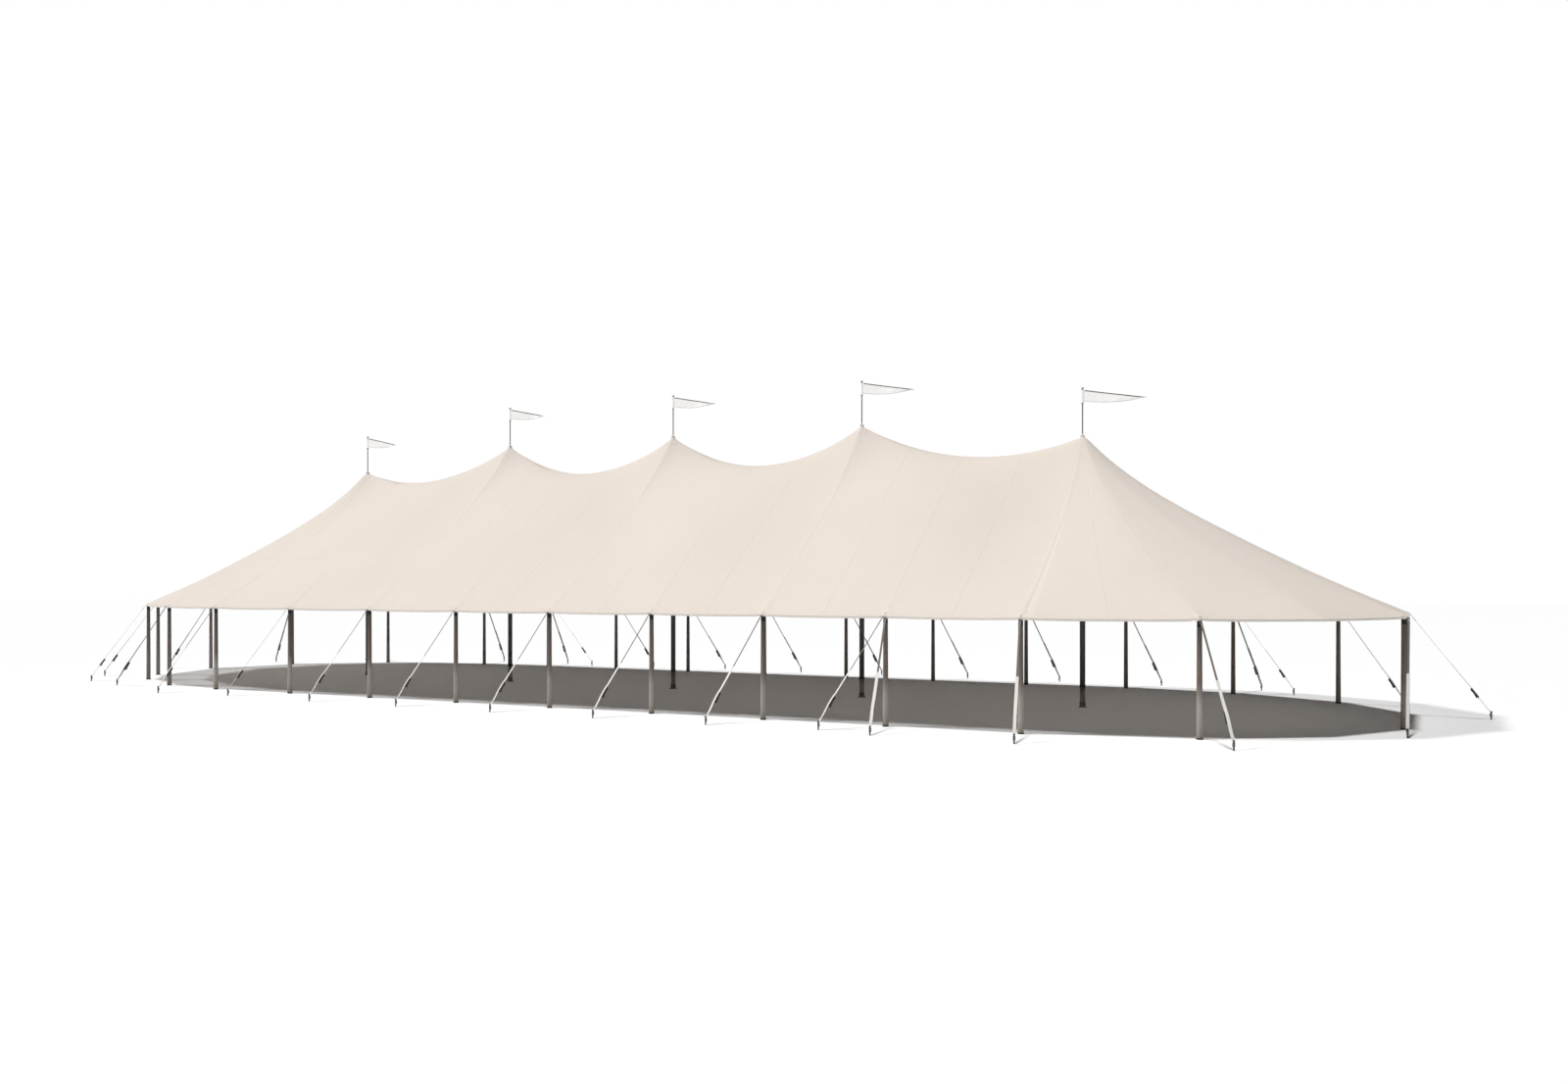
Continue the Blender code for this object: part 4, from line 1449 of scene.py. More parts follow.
def patchesFor(side):
    strips, spots = [], []
    for pole, point, inward in poles:
        if pole.startswith(side):
            shape, rim = patchAt(point, inward)
            strips.append(shape)
            spots += stitchSpots(rim, *sewnLook["patchStitch"], point + inward * 0.01)
    patch = stripsTogether(f"{side}PolePatches", strips, finish["cloth"], "cloth")
    return patch, stitched(f"{side}PolePatchesStitches", spots, uneven=0.12, seed=4)


def peakPatch(i):
    # the reinforcing star round each peak, sewn over the joint of two sections
    look, mastX, hole = sewnLook, masts[i][0], canopyLook["mastHole"]
    turn, step = np.meshgrid(np.linspace(0, math.tau, 193)[:-1], np.linspace(0, 1, 12), indexing="ij")

    def starReach(t):
        return look["peakReach"] + look["peakLobe"] * np.cos(look["peakLobes"] * t)

    r = hole + (starReach(turn) - hole) * step
    x, y = mastX + r * np.cos(turn), r * np.sin(turn)
    points = onCloth(x, y, np.where(step > 0.99, -look["rimSink"], look["lift"] * look["peakLift"]))
    rows, columns = x.shape
    k, j = np.meshgrid(np.arange(rows), np.arange(columns - 1), indexing="ij")
    a, b = (k * columns + j).ravel(), ((k + 1) % rows * columns + j).ravel()
    faces, uv = np.stack([a, a + 1, b + 1, b], 1), np.stack([x, y], 2)
    patch = pieceFrom(f"peakPatch_{i + 1}", points, faces, finish["cloth"], uv, "cloth")
    pitch, inset = look["peakStitch"]
    spots = []
    for count, reach, drawn in ((385, starReach, inset), (97, lambda t: look["peakInner"], 0.0)):
        t = np.linspace(0, math.tau, count)
        rim = np.stack([mastX + reach(t) * np.cos(t), reach(t) * np.sin(t)], 1)
        spots += stitchSpots(rim, pitch, drawn, (mastX, 0))
    spots = [(p + upward * look["peakStitchLift"], t) for p, t in spots]
    return patch, stitched(f"peakStitches_{i + 1}", spots, uneven=0.1, seed=i + 7)


seams = [sewEnd(-1)] + [sewBay(i) for i in bayNumbers] + [sewEnd(1)]
belted = belts()
patched = {side: patchesFor(side) for side in ("front", "right", "back", "left")}
peaked = [peakPatch(i) for i in mastNumbers]
print("seams, belts and patches sewn")


# lacing that joins the sections under the flaps

lacingLook = {
    "pitch": 0.085,
    "start": 0.20,
    "end": 0.06,
    "half": 0.020,
    "drop": 0.0055,
    "loop": (0.0045, 0.020, 0.0016, 12, 4),
    "eyelet": (0.0052, 0.0052, 0.0013, 10, 4),
    "eyeletDrop": 0.0006,
}


def lacing():
    look = lacingLook
    loop, eyelet = ringPattern("lacingLoop", *look["loop"]), ringPattern("eyelet", *look["eyelet"])
    count = int((edgeReach - look["end"] - look["start"]) / look["pitch"])
    made = []
    for i, (mastX, _) in enumerate(masts):
        loops, eyes = [], []
        for y in [sign * (look["start"] + k * look["pitch"]) for sign in (-1, 1) for k in range(count)]:
            a, b = clothSpot(mastX, y, -look["drop"]), clothSpot(mastX, y + 0.01, -look["drop"])
            turn = turnTo(b - a, Vector((1, 0, 0)).cross(b - a))
            loops.append((a, turn))
            for x in (mastX - look["half"], mastX + look["half"]):
                eyes.append((clothSpot(x, y, -canopyLook["thickness"] - look["eyeletDrop"]), turn))
        made.append(setOut(f"lacing_{i + 1}", loops, loop, finish["rope"], uneven=0.06, seed=i + 20))
        made.append(setOut(f"eyelets_{i + 1}", eyes, eyelet, finish["galvanised"], seed=i + 30))
    return made


laced = lacing()
print("sections laced")


# webbing round the eave

eaveLook = {
    "height": 0.025,
    "thick": 0.0042,
    "middle": 0.0045,  # how far its middle hangs under the top of the cloth
    "step": 0.05,
    "corner": 0.0006,
    "stitchRows": (-0.0085, 0.0085),
    "stitchShares": (0.12, 0.45, 0.78),
}
eaveSides = {"front": range(0, 9), "right": range(8, 16), "back": range(15, 24), "left": range(23, 31)}


def tubeFaces(rings, columns, turned=False):
    # the sides and both ends of a run of rings, faced the other way if turned
    faces = []
    for k in range(rings - 1):
        for j in range(columns):
            a, b = k * columns + j, k * columns + (j + 1) % columns
            faces.append((a, b, b + columns, a + columns) if turned else (a, a + columns, b + columns, b))
    first, last = tuple(range(columns)), tuple((rings - 1) * columns + j for j in range(columns))
    return faces + ([first[::-1], last] if turned else [first, last[::-1]])


def eaveBand(side):
    look = eaveLook
    beyond = tent["overhang"] + tent["gap"]
    inner, outer = eaveLine(beyond), eaveLine(beyond + look["thick"])
    pairs, corners = [], [i % len(inner) for i in eaveSides[side]]
    for i, j in zip(corners, corners[1:]):
        a, b, c, d = inner[i], inner[j], outer[i], outer[j]
        steps = max(2, int((b - a).length / look["step"]))
        pairs += [(a.lerp(b, k / steps), c.lerp(d, k / steps)) for k in range(steps)]
    pairs.append((b, d))
    half, r = look["height"] / 2, look["corner"]
    section = [(0, -half), (1, -half), (1, -half + 2 * r), (1, -half / 2),
               (1, half / 2), (1, half - 2 * r), (1, half), (0, half)]
    edges = np.array([[tuple(a), tuple(b)] for a, b in pairs])
    z = clothTop(edges[:, 0, 0] * 0.9995, edges[:, 0, 1] * 0.9995) - look["middle"]
    run = np.concatenate([[0], np.cumsum(np.linalg.norm(np.diff(edges.mean(1), axis=0), axis=1))])
    points, uv = [], []
    for k, (a, b) in enumerate(pairs):
        for share, level in section:
            # its four corners are drawn in, which rounds them
            spot = a.lerp(b, share if abs(level) < half else share * 0.86 + 0.07)
            points.append((spot.x, spot.y, z[k] + level))
            uv.append((level, run[k]))
    faces = tubeFaces(len(pairs), len(section))
    band = facedOut(pieceFrom(f"eaveWebbing_{side}", points, faces, finish["eave"], uv, sharp=40))
    spots = []
    for k in range(len(pairs) - 1):
        a, b = pairs[k][1], pairs[k + 1][1]
        low, high = Vector((*a, z[k])), Vector((*b, z[k + 1]))
        out = wayOut(a, b)
        for level in look["stitchRows"]:
            for share in look["stitchShares"]:
                spots.append((low.lerp(high, share) + upward * level, turnTo(high - low, (out.x, out.y, 0))))
    return band, stitched(f"eaveStitches_{side}", spots, uneven=0.08, seed=41)


eaves = {side: eaveBand(side) for side in eaveSides}
print("eave webbing made")


# guys: ring at the eave, webbing, ratchet, doubled webbing and stake

guyLook = {
    "run": 0.775,
    "endStake": 10.69,
    "tipPoles": ("right_3", "left_3"),
    "twinStep": 0.015,
    "underEave": 0.003,  # half the thickness of the solids' cloth
    "onStake": 0.075,
    "bandWide": 0.007,
    "bandBite": 0.8,
    "cadThick": 0.006,
    "strapWidth": 0.0225,
    "strapThick": 0.0022,
    "foldWidth": 0.98,  # as a share of the strap's
    "foldLift": 0.0024,
    "sleeveWidth": 0.0335,
    "sleeveFrom": 0.50,  # the pale sleeve covers the lower part of each guy
    "sleeveLift": 0.0027,
    "sleeveClear": 0.10,  # how far above the ratchet the sleeve starts to rise
    "sleeveOver": ((-0.051, 0.0128), (-0.020, 0.0146), (0.022, 0.0138), (0.052, 0.0122)),
    "sleeveBelow": ((0.40, 0.0046), (0.70, 0.0028)),
    "sleeveEnd": 0.0015,
    "tab": (-0.004, 0.010, 0.021),  # holds the ring
    "tabFold": (0.002, 0.020),
    "ringAt": 0.0275,
    "strapStart": 0.034,
    "foldEnd": 0.100,
    "sag": 0.0025,
    "sagSteps": 14,
    "ratchetAt": 0.80,
    "ratchetLong": 1.30,
    "drum": (0.026, 0.003, 0.0085),
    "bolt": 0.044,
    "tail": (0.0040, 0.0026, 0.0013),
    "stitchStep": 0.0105,
    "stitchRows": (-0.007, 0.0, 0.007),
    "sideLean": (27,),
    "leans": {
        "front_1": (14,), "front_2": (38,), "front_8": (-9, 43), "front_9": (-5,),
        "right_1": (-8,), "right_2": (74,), "right_3": (18,), "right_4": (60,), "right_5": (4, 60),
        "back_8": (-9, 53), "back_9": (-5,),
        "left_1": (-17,), "left_2": (-13,), "left_3": (-18,), "left_4": (-13,),
        "left_5": (3,), "left_6": (50,),
    },
}


def guyFrame(top, head):
    along = (head - top).normalized()
    across = Vector((-along.y, along.x, 0)).normalized()
    return along, across, along.cross(across)


def strapCorners(way):
    look = guyLook
    drop = tent["eave"] - look["underEave"] - look["onStake"]
    _, across, out = guyFrame(Vector((0, 0, 0)), Vector((*(way * look["run"]), -drop)))
    halfWide, halfThick = across * look["strapWidth"] / 2, out * look["cadThick"] / 2
    return [(halfWide * a + halfThick * b).to_2d() for a in (-1, 1) for b in (-1, 1)]


def guyRuns():
    # (side, top, head of the stake's strap, foot) of each guy, as the solids have them
    look = guyLook
    inner = eaveLine(tent["overhang"] + tent["gap"])
    runs = []
    for i, (name, _) in enumerate(eaveCorners()):
        if name is None:
            continue
        sides = (wayOut(inner[i - 1], inner[i]), wayOut(inner[i], inner[(i + 1) % len(inner)]))
        out = (sides[0] + sides[1]).normalized()
        aside = Vector((out.y, -out.x))
        leans = look["leans"].get(name, look["sideLean"])
        for order, lean in enumerate(leans):
            step = look["twinStep"] * (2 * order - 1) if len(leans) == 2 else 0.0
            way = out * math.cos(math.radians(lean)) + aside * math.sin(math.radians(lean))
            start = 0.0
            for corner in strapCorners(way):
                bite = (1 - look["bandBite"]) * look["bandWide"]
                held = [bite - (aside * step + corner).dot(n) for n in sides]
                start = max(start, min(held) / out.dot(sides[0]))
            top = inner[i] + out * start + aside * step
            reach = (look["endStake"] - abs(top.x)) / abs(way.x) if name in look["tipPoles"] else look["run"]
            end = top + way * reach
            top, head = Vector((*top, tent["eave"] - look["underEave"])), Vector((*end, look["onStake"]))
            runs.append((name.split("_")[0], top, head, Vector((*end, 0))))
    return runs


def ratchetPatterns():
    # Y runs along the guy and Z away from it; the drum is at -0.026 and the bolt at 0.044
    body, spool, grip = bmesh.new(), bmesh.new(), bmesh.new()
    plate = [(-0.050, -0.006), (-0.044, -0.010), (0.044, -0.010), (0.052, -0.004), (0.052, 0.006),
             (0.044, 0.010), (-0.010, 0.012), (-0.026, 0.017), (-0.044, 0.014), (-0.050, 0.006)]
    teeth = roundOutline(-0.026, 0.003, 24, lambda k: 0.0118 if k % 2 else 0.0094)
    pawl = [(-0.012, 0.0065), (0.004, 0.0090), (0.004, 0.0105), (-0.013, 0.0085)]
    arm = [(-0.034, 0.004), (-0.020, -0.004), (0.030, 0.0125), (0.034, 0.0165), (0.028, 0.0185),
           (-0.018, 0.013)]
    shaft, bolt = roundOutline(-0.026, 0.003, 14, 0.0056), roundOutline(0.044, 0.0, 12, 0.0042)
    nut = roundOutline(0.044, 0.0, 6, 0.0068)
    plates = [
        (plate, -0.0150, -0.0136), (plate, 0.0138, 0.0152), (teeth, -0.0132, -0.0114),
        (teeth, 0.0112, 0.0130), (shaft, -0.0175, 0.0175), (bolt, -0.0170, 0.0170), (nut, -0.0182, -0.0150),
        (nut, 0.0152, 0.0184), (pawl, -0.0110, 0.0110), (arm, -0.0172, -0.0160), (arm, 0.0160, 0.0172),
    ]
    for outline, low, high in plates:
        prism(body, outline, low, high)
    prism(spool, roundOutline(-0.026, 0.003, 26, lambda k: 0.0088 + 0.0020 * k / 26), -0.0106, 0.0106)
    handle = [(0.022, 0.0120), (0.030, 0.0105), (0.046, 0.0150), (0.051, 0.0190), (0.048, 0.0225),
              (0.038, 0.0225), (0.024, 0.0180)]
    prism(grip, handle, -0.0185, 0.0185)
    bmesh.ops.bevel(grip, geom=grip.edges[:], offset=0.0012, segments=2, affect="EDGES")
    for shape in (body, spool, grip):
        bmesh.ops.scale(shape, vec=(1, guyLook["ratchetLong"], 1), verts=shape.verts)
    return pattern("ratchetFrame", body), pattern("woundSpool", spool), pattern("ratchetGrip", grip)


def stakePattern():
    profile = [(0, 0), (0.0078, 0), (0.0082, 0.004), (0.0082, 0.0835), (0.0096, 0.0850), (0.0104, 0.0885),
               (0.0104, 0.0945), (0.0096, 0.0985), (0.0064, 0.0998), (0, 0.1000)]
    return lathed("steelStake", 18, profile)


def wrapPattern():
    # five turns of webbing round the stake's head
    wrap, outline = bmesh.new(), [(0.0080, -0.0190)]
    for z in (0.0076 * k for k in range(5)):
        outline += [(0.0128, z - 0.0188), (0.0140, z - 0.0170), (0.0140, z - 0.0132), (0.0128, z - 0.0114)]
    lathe(wrap, outline + [(0.0080, 0.0192)], 22)
    bmesh.ops.translate(wrap, vec=(0, -0.0038, 0), verts=wrap.verts)
    return pattern("stakeWrap", wrap)


def oneGuy(top, head, end):
    # its webbing as lines, and the place and turn of each fitting and stitch
    look = guyLook
    along, across, out = guyFrame(top, head)
    stretch, middle = look["ratchetLong"], top.lerp(head, look["ratchetAt"])
    back, inward, over = look["drum"]
    drum = middle - out * inward - along * back * stretch
    bolt = middle + along * look["bolt"] * stretch
    near = head - along * 0.012 / max(0.3, along.to_2d().length)
    turn = turnTo(along, out)

    def spot(distance, lift=0.0):
        return top + along * distance + out * lift

    steps, high = look["sagSteps"], spot(look["strapStart"])
    hung = [high.lerp(drum + out * over, k / steps) - upward * look["sag"] * math.sin(math.pi * k / steps)
            for k in range(steps + 1)]
    tail = [place - out * lift for place, lift in zip((bolt, bolt.lerp(near, 0.5), near), look["tail"])]
    folds = [[spot(d, look["foldLift"]) for d in look["tabFold"]],
             [high + out * look["foldLift"], spot(look["foldEnd"], look["foldLift"])]]
    first = int((steps + 1) * look["sleeveFrom"] / look["ratchetAt"])
    sleeve = [p + out * look["sleeveLift"] for p in hung[first:]
              if (middle - p).dot(along) > look["sleeveClear"]]
    sleeve += [middle + along * s * stretch + out * lift for s, lift in look["sleeveOver"]]
    sleeve += [bolt.lerp(near, share) + out * lift for share, lift in look["sleeveBelow"]]
    sleeve.append(near + out * look["sleeveEnd"])
    sewn = []
    for base, count in ((spot(0.046, 0.0038), 5), (sleeve[0] + out * 0.0013 + along * 0.006, 3),
                        (sleeve[-2] + out * 0.0012, 4)):
        for k in range(count):
            for beside in look["stitchRows"]:
                sewn.append((base + along * look["stitchStep"] * k + across * beside, turn))
    way = (head - top).to_2d().normalized()
    return {
        "straps": [[spot(d) for d in look["tab"]], hung, tail],
        "folds": folds,
        "sleeves": [sleeve],
        "stitches": sewn,
        "ratchets": [(middle, turnTo(along, -out))],
        "rings": [(spot(look["ringAt"]), turn)],
        "loops": [(head + Vector((*(way * -0.0016), 0)), turnTo((way.x, way.y, -0.25)))],
        "wraps": [(head - upward * 0.021, turnTo((way.x, way.y, 0)))],
        "stakes": [(end, facing(end.x * 7))],
    }


def makeGuys():
    look, runs = guyLook, guyRuns()
    thick, wide, sleeveWide = look["strapThick"], look["strapWidth"], look["sleeveWidth"]
    foldWide = wide * look["foldWidth"]
    body, spool, grip = ratchetPatterns()
    stake = stakePattern()
    ring = ringPattern("guyRing", 0.0085, 0.0135, 0.0019, 20, 6)
    loop = ringPattern("stakeRing", 0.0104, 0.0104, 0.0019, 18, 6)
    wrap = wrapPattern()
    made = {}
    for side in eaveSides:
        found = [oneGuy(*run) for where, *run in runs if where == side]
        every = {key: [item for guy in found for item in guy[key]] for key in found[0]}
        made[side] = {
            "straps": joined(f"guyWebbing_{side}", [
                webbingAlong(f"guyStraps_{side}", every["straps"], wide, thick, finish["guy"]),
                webbingAlong(f"guyFolds_{side}", every["folds"], foldWide, thick, finish["guy"]),
            ]),
            "sleeves": webbingAlong(f"guySleeves_{side}", every["sleeves"], sleeveWide, thick,
                                    finish["sleeve"]),
            "stitches": stitched(f"guyStitches_{side}", every["stitches"], 0.9, 0.05, 3),
            "ratchets": setOut(f"ratchetFrames_{side}", every["ratchets"], body, finish["ratchet"]),
            "spools": setOut(f"woundWebbing_{side}", every["ratchets"], spool, finish["guy"]),
            "grips": setOut(f"ratchetGrips_{side}", every["ratchets"], grip, finish["grip"]),
            "rings": setOut(f"guyRings_{side}", every["rings"], ring, finish["galvanised"]),
            "loops": setOut(f"stakeRings_{side}", every["loops"], loop, finish["blackened"]),
            "wraps": setOut(f"stakeWraps_{side}", every["wraps"], wrap, finish["guy"]),
            "stakes": setOut(f"stakes_{side}", every["stakes"], stake, finish["stake"], sharp=28.0),
        }
    return made


guys = makeGuys()
print("guys made")


# side poles, with a steel head, a pin through the eave and a shoe

sidePoleShape = {
    "foot": 0.032,
    "top": 0.025,
    "uneven": 0.035,
    "headUnder": 0.0014,  # how far the head's top stays under the lowest cloth over it
    "headCover": 0.012,  # how far the timber ends below that
    "footLift": 0.0006,
    "pinStands": 0.0052,
}
# how much painted sunlight each pole's lower part gets, by how the light falls on its side of the tent
paintedSunPoles = {"front": 1.0, "right_1": 1.0, "right_2": 0.5, "right": 0.15, "left": 0.2, "back": 0.08}


def lowestOver(x, radius, y=0.0):
    # how low the underside of the cloth comes over a round head
    turns = (np.arange(24) + 0.5) * math.tau / 24
    tops = clothTop(x + radius * np.cos(turns), y + radius * np.sin(turns))
    return float(tops.min()) - canopyLook["thickness"]


def poleFittingPatterns():
    r, f = sidePoleShape["top"], sidePoleShape["foot"]
    head = [(r - 0.002, -0.085), (r + 0.0014, -0.085), (r + 0.0014, -0.079), (r + 0.0008, -0.077),
            (r + 0.0008, -0.022), (r + 0.0016, -0.020), (r + 0.0016, -0.014), (r + 0.0004, -0.010),
            (r - 0.005, -0.0035), (r - 0.012, -0.0008), (0.0, 0.0)]
    pin = [(0.0042, -0.006), (0.0042, 0.0012), (0.0125, 0.0008), (0.0130, 0.0020), (0.0122, 0.0034),
           (0.0060, 0.0040), (0.0052, 0.0048), (0.0042, 0.0051), (0.0, sidePoleShape["pinStands"])]
    shoe = [(0.0, 0.0), (f + 0.0020, 0.0), (f + 0.0024, 0.003), (f + 0.0016, 0.015), (f + 0.0014, 0.019),
            (f - 0.0012, 0.022)]
    return lathed("poleHead", 28, head), lathed("polePin", 16, pin), lathed("poleShoeShape", 28, shoe)


def makeSidePoles():
    look = sidePoleShape
    head, pin, shoe = poleFittingPatterns()
    spots, made, fittings = {}, [], []
    for number, (name, point, _) in enumerate(poles):
        under = lowestOver(point.x, look["top"] + 0.001, point.y) - look["headUnder"]
        values = {
            "Height": under - look["headCover"],
            "Foot Radius": look["foot"],
            "Top Radius": look["top"] * 1.008,
            "Uneven": look["uneven"],
            "Seed": number * 3 + 1,
            "Finish": finish["sidePole"],
        }
        pole = madeBy(f"sidePole_{name}", inScene(name, bpy.data.meshes.new(name)), poleTree, values, 50)
        place = Matrix.Translation((point.x, point.y, look["footLift"]))
        pole.data.transform(place @ Matrix.Rotation(number * 1.7, 4, "Z"))
        made.append((pole, f"side_pole_{name}"))
        side = name.split("_")[0]
        paintedSun = pole.data.attributes.new("paintedSun", "FLOAT", "POINT")
        share = paintedSunPoles.get(name, paintedSunPoles[side])
        paintedSun.data.foreach_set("value", np.full(len(pole.data.vertices), share))
        heights = (under, clothSpot(point.x, point.y).z, 0)
        spots.setdefault(side, []).append([(Vector((*point, z)), facing(number)) for z in heights])
    kinds = (("poleHeads", head, "blackened"), ("polePins", pin, "cap"), ("poleShoes", shoe, "shoe"))
    for side, found in spots.items():
        for (name, shape, kind), places in zip(kinds, zip(*found)):
            fittings.append(setOut(f"{name}_{side}", places, shape, finish[kind], sharp=50))
    return made, fittings


sidePoles, poleFittings = makeSidePoles()
print("side poles turned,", len(sidePoles))


# centre poles with bands and a foot, and what stands on them

mastShape = {
    "radius": 0.035,
    "headRadius": 0.020,
    "headLength": 0.050,
    "underCloth": 0.003,
    "waist": (0.985, 0.020),  # thickness at the ends as a share of the radius, and how it swells between
    "pinRadius": 0.0117,
    "pinStands": 0.015,  # over the peak, on the solids and here
    "sides": 44,
    "bandHeights": (0.27, 1.10, 2.05, 2.85),
    "flange": 0.056,
    "boltCircle": (0.0488, 0.0062),  # radius and height
}


def turnedPiece(name, profile, sides, material, x, sharp=40):
    bm = bmesh.new()
    lathe(bm, profile, sides, (x, 0, 0))
    mesh = meshFrom(name, bm)
    smoothed(mesh, sharp)
    mesh.materials.append(material)
    return inScene(name, mesh)


def makeMast(i):
    look = mastShape
    x, peak = masts[i]
    r, pin, flange, sides = look["radius"], look["pinRadius"], look["flange"], look["sides"]
    head = lowestOver(x, look["headRadius"]) - look["underCloth"]
    shoulder = min(lowestOver(x, r) - look["underCloth"], head - look["headLength"])
    least, swell = look["waist"]
    shaft = [(r * (least + swell * math.sin(math.pi * k / 24)), shoulder * k / 24) for k in range(25)]
    profile = [(0, 0)] + shaft + [(look["headRadius"], head), (0, head)]
    pole = turnedPiece(f"mast_{i + 1}", profile, sides, finish["mast"], x)
    tip = peak + look["pinStands"]
    profile = [(0, head - 0.04), (pin, head - 0.04), (pin, tip - 0.0012), (pin - 0.0012, tip), (0, tip)]
    steel = [turnedPiece("mastPin", profile, 24, finish["blackened"], x)]
    band = [(-0.002, -0.015), (0.0016, -0.014), (0.0020, -0.009), (0.0014, 0), (0.0020, 0.009),
            (0.0016, 0.014), (-0.002, 0.015)]
    for height in look["bandHeights"]:
        profile = [(r + out, height + up) for out, up in band]
        steel.append(turnedPiece("band", profile, sides, finish["blackened"], x))
    collar = [(0.021, head - 0.006), (0.027, head - 0.012), (r + 0.0005, shoulder + 0.004),
              (r + 0.0015, shoulder - 0.004), (r + 0.0015, shoulder - 0.030), (r - 0.0015, shoulder - 0.032)]
    steel.append(turnedPiece("collar", collar, sides, finish["blackened"], x))
    boot = [(0, 0), (flange - 0.001, 0), (flange, 0.0015), (flange, 0.0045), (flange - 0.002, 0.006),
            (r + 0.007, 0.007), (r + 0.0035, 0.012), (r + 0.0030, 0.062), (r + 0.0020, 0.066),
            (r - 0.0015, 0.066)]
    steel.append(turnedPiece("boot", boot, sides, finish["boot"], x))
    return pole, joined(f"mastFittings_{i + 1}", steel)


def fourRound(x, radius, z, start=0.0):
    # four places round a pole, each with its turn
    turns = [math.pi / 4 + k * math.pi / 2 + start for k in range(4)]
    return [(Vector((x + radius * math.cos(t), radius * math.sin(t), z)), t) for t in turns]


def footBolts():
    bm = bmesh.new()
    lathe(bm, [(0.0066, 0.0), (0.0066, 0.0010), (0.0042, 0.0011)], 12)
    lathe(bm, [(0.0046, 0.0010), (0.0046, 0.0046), (0.0038, 0.0054), (0, 0.0054)], 6)
    spots = []
    for i, (x, _) in enumerate(masts):
        spots += [(place, facing(t + i)) for place, t in fourRound(x, *mastShape["boltCircle"])]
    return setOut("mastFootBolts", spots, pattern("footBolt", bm), finish["galvanised"])


mastPieces = [makeMast(i) for i in mastNumbers]
bolts = footBolts()


# cap of each peak, and the flagpole on it

flagpoleShape = {
    "height": 0.61,
    "radius": 0.008,
    "baseRadius": 0.030,
    "baseHeight": 0.025,
    "rim": 0.0075,
    "ball": 0.017,
    "ringRadius": 0.015,
    "ringHeight": 0.0125,
    "hoist": 0.17,
    "sides": 28,
    "capRadius": 0.041,
    "capLift": 0.0035,
    "screwCircle": (0.0235, 0.0077),  # radius, and height over the pin
}


def flagpoleSeat(peak):
    return peak + mastShape["pinStands"] + tent["gap"]


def sleeveFoot(peak):
    look = flagpoleShape
    return flagpoleSeat(peak) + look["height"] - look["ball"] - look["hoist"] - 2 * tent["gap"]


def makeFlagpole(i):
    look = flagpoleShape
    x, peak = masts[i]
    r, b, rim, ball = look["radius"], look["baseRadius"], look["rim"], look["ball"]
    seat, ring = flagpoleSeat(peak), sleeveFoot(peak)
    under, ringRadius, centre = ring - look["ringHeight"], look["ringRadius"], seat + look["height"]
    base = [(0, 0), (b - 0.001, 0), (b, 0.001), (b, rim - 0.001), (b - 0.001, rim), (0.017, rim + 0.001),
            (0.0125, 0.012), (0.0105, 0.022), (r + 0.001, look["baseHeight"]),
            (r - 0.001, look["baseHeight"] + 0.001)]
    base = [(radius, seat + up) for radius, up in base]
    profile = [(0, seat + 0.002), (r - 0.0002, seat + 0.002), (r, seat + 0.028), (r, seat + 0.17),
               (r, ring - 0.15), (r, under), (0.014, under), (ringRadius, under + 0.001),
               (ringRadius, ring - 0.001), (0.0142, ring), (r, ring)]
    lowest = math.asin(r / ball)
    for t in (lowest + (math.pi - lowest) * k / 13 for k in range(13)):
        profile.append((ball * math.sin(t), centre - ball * math.cos(t)))
    profile.append((0, centre + ball))
    pole = turnedPiece(f"flagpoleTube_{i + 1}", profile, look["sides"], finish["flagpole"], x)
    t = np.linspace(0, math.tau, 16)
    reach = look["capRadius"]
    low = float(clothTop(x + reach * np.cos(t), reach * np.sin(t)).min()) + look["capLift"]
    cap = [(0.0122, low), (0.040, low - 0.0015), (0.0425, low), (0.0415, low + 0.0022),
           (0.034, low + (seat - low) * 0.45), (0.024, seat - 0.0012), (0.0122, seat - 0.0004)]
    cap = turnedPiece("cap", cap, 40, finish["cap"], x)
    base = turnedPiece("base", base, look["sides"], finish["cap"], x)
    return pole, joined(f"peakCap_{i + 1}", [cap, base])


def baseScrews():
    radius, up = flagpoleShape["screwCircle"]
    screw = lathed("baseScrew", 10, [(0.0034, 0.0), (0.0034, 0.0012), (0.0022, 0.0022), (0, 0.0024)])
    spots = []
    for i, (x, peak) in enumerate(masts):
        found = fourRound(x, radius, peak + mastShape["pinStands"] + up, i * 0.2)
        spots += [(place, facing(t)) for place, t in found]
    return setOut("flagpoleScrews", spots, screw, finish["cap"])


flagpoles = [makeFlagpole(i) for i in mastNumbers]
screws = baseScrews()
print("masts and flagpoles turned")


# pennants

pennantShape = {
    "length": 0.86,
    "hoist": 0.17,
    "deep": 0.145,  # at the pole, and how the foot of the pennant curves up to its tip
    "curve": 1.9,
    "columns": 84,
    "rows": 16,
    "tape": {"Top": 0.013, "Foot": 0.0085},
    "tapeSteps": 60,
    "droop": 11.5,
    "wave": 0.0225,
    "waves": 0.8,
    "tip": 0.0075,
    "heading": -12.6,
    "sleeveInner": 0.0096,
    "sleeveOuter": 0.0128,
    "sleeveRows": 8,
    "thickness": 0.0011,
    "ripples": (0.0040, 0.0026, 0.0018),
    "stitchAt": (0.0262, 0.0027),
}


def depthAt(t):
    return max(pennantShape["deep"] * (1 - t ** pennantShape["curve"]), pennantShape["tip"])


def droopAt(x):
    return math.tan(math.radians(pennantShape["droop"])) * x


